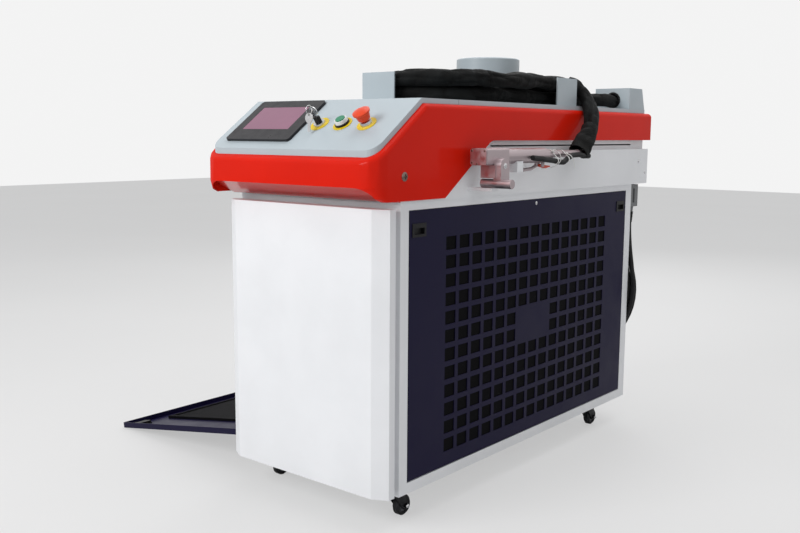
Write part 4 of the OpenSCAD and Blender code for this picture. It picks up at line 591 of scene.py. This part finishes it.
braid = woven("black_braid", (0.0070, 0.0086, 0.0084), 0.0022, 0.0005, 0.6, 0.02, 0.16)
fold_cloth(braid, 15, 0.0100)
filter_net = woven("filter_net", (0.0026, 0.0024, 0.0036), 0.0030, 0.0006, 0.0, 0.0, 0.06)
for piece in (long_sleeve, drop_sleeve, cuff):
    piece.data.materials.append(braid)
cable.data.materials.append(rubber)
print("cords finished in", braid.name, "and", rubber.name)

# %% [markdown]
# ## Finishes on the imported parts
# The imported solids keep their shape and only get their finish. Faces that meet at a shallow
# angle are shaded as one curved surface, and real edges stay sharp.

# %% Finish each part
SOFT_ANGLE = math.radians(32)


def finish_part(name, mat):
    part = nodes[name]
    part.data.materials.clear()
    part.data.materials.append(mat)
    part.data.shade_smooth()
    part.data.set_sharp_from_angle(angle=SOFT_ANGLE)


FINISHES = {
    "base_tray": white_coat, "front_bulkhead": white_coat, "rear_bulkhead": white_coat,
    "top_tray": white_coat, "front_panel": white_coat, "laser_box": box_coat,
    "gun_bracket": white_coat, "cable_hook": white_coat, "hood": red_lacquer,
    "console_plate": plate_coat, "deck_plate": plate_coat, "coil_hub": plate_coat,
    "coil_posts": plate_coat, "hose_box": plate_coat, "hose_grommet": rubber,
    "laser_source": cast_metal, "touch_screen": charcoal_plastic, "control_rings": yellow_plastic,
    "switch_collars": steel, "key": steel, "spare_key": steel, "start_bezel": white_plastic,
    "start_button": green_plastic, "estop_head": red_plastic, "condenser": fin_metal,
    "fan_shroud": black_plastic, "fan_rotor": black_plastic, "compressor": black_plastic,
    "water_tank": tank_plastic, "water_pump": charcoal_plastic, "refrigerant_pipes": copper,
    "power_unit": cast_metal, "power_connector": grey_plastic, "power_plug": rubber,
    "filler_cap": black_plastic, "left_panel": navy_coat, "right_panel": navy_coat,
    "left_filter": filter_net, "right_filter": filter_net, "gun_head": gun_metal,
    "gun_barrel": gun_metal, "gun_lines": rubber, "gun_trigger": trigger_plastic,
}
for side in ("left", "right"):
    for end in ("front", "rear"):
        FINISHES[f"{side}_latch_{end}"] = black_plastic
        FINISHES[f"caster_fork_{end}_{side}"] = black_plastic
        FINISHES[f"caster_wheel_{end}_{side}"] = wheel_rubber
for name, mat in FINISHES.items():
    finish_part(name, mat)
print("parts finished", len(FINISHES), "of", len(nodes))

# %% [markdown]
# ## Screws, rings and other small parts
# What a solid model leaves out gives the eye its scale: domed screws with a cross recess, a black
# ring under the start button, a black grip on the key, bright axle nuts. A turned part is a
# profile swept round an axis, and a screw's recess is pressed into a dome of fine rings.

# %% Helpers for small parts
WELD = 1e-6


def add_piece(name, mesh, mat, body):
    mesh.materials.append(mat)
    piece = place_object(name, mesh)
    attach(piece, body)
    return piece


def mesh_from(bm, name, bend, place=None):
    """A mesh moved to its place, with sharp edges where it bends by more than this many degrees."""
    mesh = bpy.data.meshes.new(name)
    bm.to_mesh(mesh)
    bm.free()
    if place is not None:
        mesh.transform(place)
    mesh.shade_smooth()
    mesh.set_sharp_from_angle(angle=math.radians(bend))
    return mesh


def aim(place, way):
    """A matrix that puts a part's own Z along way, with its foot at place."""
    return Matrix.Translation(place) @ Vector(way).to_track_quat("Z", "Y").to_matrix().to_4x4()


def turned(name, profile, place, way, mat, body, sides=40):
    """A profile of (radius, height) points swept round an axis."""
    bm = bmesh.new()
    angles = [math.tau * k / sides for k in range(sides)]
    skin_rings(bm, [[bm.verts.new((r * math.cos(a), r * math.sin(a), z)) for a in angles]
                    for r, z in profile])
    bmesh.ops.remove_doubles(bm, verts=bm.verts, dist=WELD)
    bmesh.ops.recalc_face_normals(bm, faces=bm.faces)
    add_piece(name, mesh_from(bm, name, 30, aim(place, way)), mat, body)


print("helpers for turned parts ready")

# %% Screws on the sheet metal and the gun
SCREW_ROWS, SCREW_SIDES = 12, 48
DOME_SHARE, EDGE_SHARE, RECESS_SHARE = 0.32, 0.75, 0.75
CROSS_SLIM_SHARE, CROSS_LONG_SHARE = 0.13, 0.56


def screw(name, place, way, radius, body, mat):
    """A domed head with a cross recess, standing on a surface."""
    bm = bmesh.new()
    tall = radius * DOME_SHARE
    rings = []
    for row in range(SCREW_ROWS + 2):
        r = radius * min(row, SCREW_ROWS) / SCREW_ROWS
        ring = []
        for k in range(SCREW_SIDES):
            x = r * math.cos(math.tau * k / SCREW_SIDES)
            y = r * math.sin(math.tau * k / SCREW_SIDES)
            z = tall * (1 - EDGE_SHARE * (r / radius) ** 3) if row <= SCREW_ROWS else 0.0
            slim, long = min(abs(x), abs(y)), max(abs(x), abs(y))
            if slim < radius * CROSS_SLIM_SHARE and long < radius * CROSS_LONG_SHARE:
                z -= tall * RECESS_SHARE
            ring.append(bm.verts.new((x, y, z)))
        rings.append(ring)
    skin_rings(bm, rings)
    bmesh.ops.remove_doubles(bm, verts=bm.verts, dist=WELD)
    bmesh.ops.recalc_face_normals(bm, faces=bm.faces)
    add_piece(name, mesh_from(bm, name, 35, aim(place, way)), mat, body)


GUN_X, GUN_Z, HEAD_Y = 0.337, 0.801, -0.377
dark_screw = worked_metal("bronzed_screw", (0.20, 0.15, 0.13), 0.34)
screw("hood_screw", (0.290, -0.595, 0.759), (1, 0, 0), 0.0105, "cabinet", dark_screw)
screw("hood_screw_left", (-0.290, -0.595, 0.759), (-1, 0, 0), 0.0105, "cabinet", dark_screw)
screw("grille_screw", (0.270, 0.003, 0.668), (1, 0, 0), 0.0050, "right_panel", steel)
for i, (y, z) in enumerate(((0.600, 0.772), (0.648, 0.735), (-0.150, 0.772))):
    screw(f"laser_box_screw_{i}", (0.283, y, z), (1, 0, 0), 0.0045, "cabinet", steel)
for i, (x, z) in enumerate(((0.018, 0.014), (-0.018, -0.014), (-0.004, -0.0165), (-0.018, 0.014))):
    screw(f"head_screw_{i}", (GUN_X + x, HEAD_Y, GUN_Z + z), (0, -1, 0), 0.0026, "gun", dark_screw)
screw("cheek_bolt", (GUN_X + 0.044, -0.3265, 0.7795), (1, 0, 0), 0.0070, "gun", steel)

# %% [markdown]
# ## The console's small parts
# The console slopes, so its small parts are placed by how far they lie across it, up it and out
# of it. A turned ring stands under the start button, and each yellow legend has a fine groove.
# The screen's glass and the key's grip are slabs with rounded corners and a softened edge, which
# a bevel of the upper rim gives.

# %% Rings on the console
SLOPE = math.atan2(0.119, 0.164)
SLOPE_UP = Vector((0, math.cos(SLOPE), math.sin(SLOPE)))
SLOPE_OUT = Vector((0, -math.sin(SLOPE), math.cos(SLOPE)))
CONSOLE_Y, CONSOLE_Z = -0.682, 0.817
CONTROLS_T = 0.0995
CONTROLS_X = {"key": 0.0334, "start": 0.1076, "stop": 0.1827}


def on_console(x, t, out=0.0):
    """A point of the console plate: x across, t up the slope, out of its face."""
    return Vector((x, CONSOLE_Y, CONSOLE_Z)) + SLOPE_UP * t + SLOPE_OUT * out


turned("start_base_ring", [(0.0172, 0.0016), (0.0180, 0.0020), (0.0180, 0.0062), (0.0172, 0.0070),
                           (0.0164, 0.0072), (0.0164, 0.0016), (0.0172, 0.0016)],
       on_console(CONTROLS_X["start"], CONTROLS_T), SLOPE_OUT, black_plastic, "cabinet")
GROOVE = [(0.0228, 0.00160), (0.0230, 0.00172), (0.0236, 0.00172), (0.0238, 0.00160)]
for name, x in CONTROLS_X.items():
    turned(f"{name}_ring_groove", GROOVE, on_console(x, CONTROLS_T), SLOPE_OUT, yellow_plastic,
           "cabinet", sides=64)
print("console slopes by", round(math.degrees(SLOPE), 1), "degrees")

# %% Screen glass and key grip
CORNER_STEPS = 6


def console_slab(name, size, corner, height, soft, at, mat, body):
    """A slab with rounded corners and a softened rim, lying at (x, t, out) on the console."""
    w, h = size[0] / 2, size[1] / 2
    rim = []
    for cx, cy, start in ((w, h, 0), (-w, h, 90), (-w, -h, 180), (w, -h, 270)):
        for k in range(CORNER_STEPS + 1):
            a = math.radians(start + 90 * k / CORNER_STEPS)
            rim.append((cx - math.copysign(corner, cx) + corner * math.cos(a),
                        cy - math.copysign(corner, cy) + corner * math.sin(a)))
    bm = bmesh.new()
    low = [bm.verts.new((x, y, 0)) for x, y in rim]
    high = [bm.verts.new((x, y, height)) for x, y in rim]
    bm.faces.new(low[::-1])
    top = bm.faces.new(high)
    skin_rings(bm, [low, high])
    bmesh.ops.bevel(bm, geom=list(top.edges), offset=soft, segments=3, affect="EDGES")
    bmesh.ops.recalc_face_normals(bm, faces=bm.faces)
    slab = add_piece(name, mesh_from(bm, name, 30), mat, body)
    slab.data.transform(Matrix.Translation(on_console(*at)) @ Matrix.Rotation(SLOPE, 4, "X"))


GLASS_TINT = (0.250, 0.100, 0.165)
screen_glass = new_material("screen_glass", GLASS_TINT, 0.16, mirror=0.35)
vary_colour(screen_glass, GLASS_TINT, 0.12, 4)
add_bump(screen_glass, add_noise(screen_glass, 700, 2.0).outputs["Fac"], 0.00001)
console_slab("screen_glass", (0.164, 0.093), 0.0012, 0.0008, 0.0002, (-0.1301, 0.1166, 0.0061),
             screen_glass, "cabinet")
console_slab("key_grip", (0.0180, 0.0100), 0.0030, 0.0150, 0.0016, (CONTROLS_X["key"], CONTROLS_T, 0.0070),
             black_plastic, "key")
print("screen glass and key grip on the console")

# %% [markdown]
# ## Cable ties
# Two white nylon ties hold the air hose to the gun. A tie is a flat strap pulled round both, so
# its loop is the outline that hugs two circles: the convex hull of their points. Its head is a
# small block, and the spare end is left long, as on the real machine.

# %% The loop of a tie
TIE_WIDTH, TIE_THICK, TIE_GAP, TIE_DOTS, TIE_STEPS = 0.0036, 0.0011, 0.0003, 40, 64


def hull(points):
    """The outline that hugs a set of points, counter-clockwise."""
    points = sorted(set(points))

    def half(seq):
        out = []
        for p in seq:
            while len(out) > 1 and ((out[-1][0] - out[-2][0]) * (p[1] - out[-2][1])
                                    - (out[-1][1] - out[-2][1]) * (p[0] - out[-2][0])) <= 0:
                out.pop()
            out.append(p)
        return out[:-1]
    return half(points) + half(points[::-1])


def hug(circles, grow):
    """The hull of circles of (x, z, radius), each made larger by grow."""
    return hull([(round(x + (r + grow) * math.cos(math.tau * k / TIE_DOTS), 6),
                  round(z + (r + grow) * math.sin(math.tau * k / TIE_DOTS), 6))
                 for x, z, r in circles for k in range(TIE_DOTS)])


def even_ring(bm, outline, y):
    """Points at even distances along an outline, at this y."""
    way = [Vector((x, 0, z)) for x, z in outline + outline[:1]]
    total = path_length(way)
    ring, passed, i = [], 0.0, 0
    for k in range(TIE_STEPS):
        want = total * k / TIE_STEPS
        while passed + (way[i + 1] - way[i]).length < want:
            passed += (way[i + 1] - way[i]).length
            i += 1
        q = way[i].lerp(way[i + 1], (want - passed) / (way[i + 1] - way[i]).length)
        ring.append(bm.verts.new((q.x, y, q.z)))
    return ring


print("a tie round one circle has", len(hug([(0, 0, 0.010)], 0)), "corners")

# %% Cable ties on the gun
TIE_HEAD = (0.0062, 0.0056, 0.0040)


def cable_tie(name, y, circles, head, tail):
    """A tie round circles. head is the angle of its head, and tail its spare end."""
    inner, outer = hug(circles, TIE_GAP), hug(circles, TIE_GAP + TIE_THICK)
    bm = bmesh.new()
    rings = [even_ring(bm, outline, y + out * TIE_WIDTH / 2)
             for outline, out in ((outer, -1), (outer, 1), (inner, 1), (inner, -1))]
    skin_rings(bm, rings + rings[:1])
    mid_x, mid_z = (sum(p[axis] for p in outer) / len(outer) for axis in (0, 1))
    reach = max((x - mid_x) * math.cos(head) + (z - mid_z) * math.sin(head) for x, z in outer)
    spot = Vector((mid_x + reach * math.cos(head), y, mid_z + reach * math.sin(head)))
    turn = Matrix.Rotation(math.pi / 2 - head, 4, "Y")
    block = bmesh.ops.create_cube(bm, size=1.0, matrix=Matrix.Translation(spot) @ turn
                                  @ Matrix.Diagonal((*TIE_HEAD, 1)))
    edges = list({e for v in block["verts"] for e in v.link_edges})
    bmesh.ops.bevel(bm, geom=edges, offset=0.0007, segments=2, affect="EDGES")
    bmesh.ops.recalc_face_normals(bm, faces=bm.faces)
    add_piece(name, mesh_from(bm, name, 40), white_plastic, "gun")
    strip = make_tube(name + "_tail", smooth_path([spot] + tail, 0.003),
                      lambda along, a: TIE_THICK / math.sqrt(1 + 3 * math.sin(a) ** 2), sides=12)
    strip.data.materials.append(white_plastic)
    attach(strip, "gun")


cable_tie("tie_front", -0.053, [(GUN_X, 0.8025, 0.013), (0.3595, 0.7865, 0.007)], math.radians(70),
          [(0.354, -0.051, 0.816), (0.367, -0.048, 0.806), (0.372, -0.048, 0.791), (0.367, -0.056, 0.777),
           (0.355, -0.070, 0.769)])
cable_tie("tie_rear", 0.010, [(GUN_X, 0.804, 0.0095), (0.3565, 0.7895, 0.007)], math.radians(35),
          [(0.367, 0.013, 0.799), (0.371, 0.019, 0.788), (0.371, 0.026, 0.774), (0.369, 0.031, 0.765)])

# %% [markdown]
# ## Seam, axle nuts, wheel discs and strain relief
# The last small pieces: a thin dark strip of painted shadow in the joint line between the console plate
# and the deck plate, bright nuts on the caster axles, grey discs in the wheels, and the ribbed rubber
# taper that keeps the mains lead from kinking where it leaves its connector.

# %% Seam of the deck
# The seam is a thin dark strip set in the joint between the plates: a painted shadow.
seam_mesh = bpy.data.meshes.new("deck_seam")
bm = bmesh.new()
bmesh.ops.create_cube(bm, size=1.0, matrix=Matrix.Translation((0, -0.3751, 0.93005))
                      @ Matrix.Diagonal((0.5526, 0.0009, 0.0121, 1)))
bmesh.ops.bevel(bm, geom=list(bm.edges), offset=0.00012, segments=1, affect="EDGES")
bm.to_mesh(seam_mesh)
bm.free()
seam_dark = powder_coat("seam_shadow", (0.10, 0.11, 0.12), 0.6)
add_piece("deck_seam", seam_mesh, seam_dark, "cabinet")
print("seam faces", len(seam_mesh.polygons))

# %% Nuts and discs on the casters
CASTER_X, AXLE_Z, TRAIL = 0.215, -0.054, 0.022
CASTERS_Y = {"front": -0.529, "rear": 0.438}
NUT_OUT, DISC_OUT = 0.0195, 0.0060
NUT = [(0, 0.0034), (0.0030, 0.0032), (0.0048, 0.0020), (0.0052, 0.0004), (0.0052, 0), (0, 0)]
DISC = [(0.0095, 0), (0.0095, 0.0009), (0.0110, 0.0018), (0.0140, 0.0018), (0.0165, 0.0006),
        (0.0165, 0), (0.0095, 0)]
disc_grey = moulded("wheel_disc", (0.10, 0.10, 0.11))
for end, y in CASTERS_Y.items():
    for side, x in (("left", -CASTER_X), ("right", CASTER_X)):
        axle = Vector((x, y + TRAIL, AXLE_Z))
        for s in (-1, 1):
            which = f"{end}_{side}_{'in' if s * x < 0 else 'out'}"
            turned(f"axle_nut_{which}", NUT, axle + Vector((s * NUT_OUT, 0, 0)), (s, 0, 0), steel,
                   f"fork_{end}_{side}")
            turned(f"wheel_disc_{which}", DISC, axle + Vector((s * DISC_OUT, 0, 0)), (s, 0, 0), disc_grey,
                   f"wheel_{end}_{side}")

# %% Strain relief of the mains lead
RIBS, RIB_PITCH, RELIEF_R, RELIEF_TAPER, RIB_DEEP = 7, 0.0050, 0.0112, 0.0004, 0.0016
LEAD_R, RELIEF_MOUTH_R, RELIEF_LENGTH = 0.0072, 0.0078, 0.0350
ribs = []
for i in range(RIBS):
    z = RIB_PITCH * i
    r = RELIEF_R - RELIEF_TAPER * i
    ribs += [(r, z), (r, z + 0.0030), (r - RIB_DEEP, z + 0.0034), (r - RIB_DEEP, z + 0.0048)]
mouth = [(RELIEF_MOUTH_R, RELIEF_LENGTH), (LEAD_R, RELIEF_LENGTH)]
turned("lead_strain_relief", [(LEAD_R, 0)] + ribs + mouth, (0.254, 0.612, 0.6080), (0, 0, -1),
       rubber, "cabinet")

# %% [markdown]
# ## Studio
# A plain pale floor, a bright plain backdrop and four large soft lamps: a key from the front, a
# weak fill from the right, a top light and one behind, so the sides stay darker than the front.
# Large lamps give soft shadows and long clean highlights on lacquer. The floor glows a little to
# the camera alone, and the bright backdrop is seen only by the camera and in reflections. What
# lights the machine from all round is a weaker sky.

# %% Floor
FLOOR_HALF = 14
FLOOR_GREY, GLOW_GREY, GLOW_SHARE = (0.70, 0.70, 0.70), (0.86, 0.86, 0.86), 0.55
corners = [(x * FLOOR_HALF, y * FLOOR_HALF, FLOOR) for x, y in ((-1, -1), (1, -1), (1, 1), (-1, 1))]
floor_mesh = bpy.data.meshes.new("studio_floor")
floor_mesh.from_pydata(corners, [], [(0, 1, 2, 3)])
studio_floor = place_object("studio_floor", floor_mesh)
floor_paint = new_material("studio_floor_paint", FLOOR_GREY, 0.8, mirror=0.1)
vary_colour(floor_paint, FLOOR_GREY, 0.03, 0.8)
nt = floor_paint.node_tree
glow = nt.nodes.new("ShaderNodeEmission")
set_inputs(glow, Color=(*GLOW_GREY, 1))
rays = nt.nodes.new("ShaderNodeLightPath")
share = nt.nodes.new("ShaderNodeMath")
share.operation = "MULTIPLY"
share.inputs[1].default_value = GLOW_SHARE
lit = nt.nodes.new("ShaderNodeMixShader")
nt.links.new(rays.outputs["Is Camera Ray"], share.inputs[0])
nt.links.new(share.outputs[0], lit.inputs["Fac"])
nt.links.new(shader_of(floor_paint).outputs[0], lit.inputs[1])
nt.links.new(glow.outputs[0], lit.inputs[2])
nt.links.new(lit.outputs[0], nt.nodes["Material Output"].inputs["Surface"])
floor_mesh.materials.append(floor_paint)
print("floor", 2 * FLOOR_HALF, "m wide at", FLOOR)


# %% Lamps
def soft_lamp(name, place, target, size, watts):
    lamp = place_object(name, bpy.data.lights.new(name, "AREA"))
    lamp.data.shape = "RECTANGLE"
    lamp.data.size = lamp.data.size_y = size
    lamp.data.energy = watts
    lamp.location = place
    lamp.rotation_euler = (Vector(target) - Vector(place)).to_track_quat("-Z", "Y").to_euler()


soft_lamp("key_lamp", (-1.2, -4.4, 2.8), (0, -0.3, 0.4), 2.4, 134)
soft_lamp("fill_lamp", (3.6, -1.8, 2.2), (0, 0, 0.4), 2.4, 15)
soft_lamp("top_lamp", (0.4, 0.6, 3.6), (0, 0, 0.4), 3.0, 55)
soft_lamp("rear_lamp", (-1.8, 3.4, 2.6), (0, 0, 0.4), 2.4, 45)
print("lamps", len(bpy.data.lights))

# %% Backdrop
world = bpy.data.worlds.new("studio")
bpy.context.scene.world = world
world.use_nodes = True
nt = world.node_tree
sky = nt.nodes["Background"]
set_inputs(sky, Color=(0.93, 0.94, 0.96, 1), Strength=0.38)
backdrop = nt.nodes.new("ShaderNodeBackground")
set_inputs(backdrop, Color=(0.90, 0.90, 0.90, 1))
rays = nt.nodes.new("ShaderNodeLightPath")
shown = rays.outputs["Is Camera Ray"]
for ray in ("Is Glossy Ray", "Is Transmission Ray"):
    either = nt.nodes.new("ShaderNodeMath")
    either.operation = "MAXIMUM"
    nt.links.new(shown, either.inputs[0])
    nt.links.new(rays.outputs[ray], either.inputs[1])
    shown = either.outputs[0]
choose = nt.nodes.new("ShaderNodeMixShader")
nt.links.new(shown, choose.inputs["Fac"])
nt.links.new(sky.outputs[0], choose.inputs[1])
nt.links.new(backdrop.outputs[0], choose.inputs[2])
nt.links.new(choose.outputs[0], nt.nodes["World Output"].inputs["Surface"])
bpy.context.scene.view_settings.view_transform = "Standard"
print("backdrop nodes", len(nt.nodes))
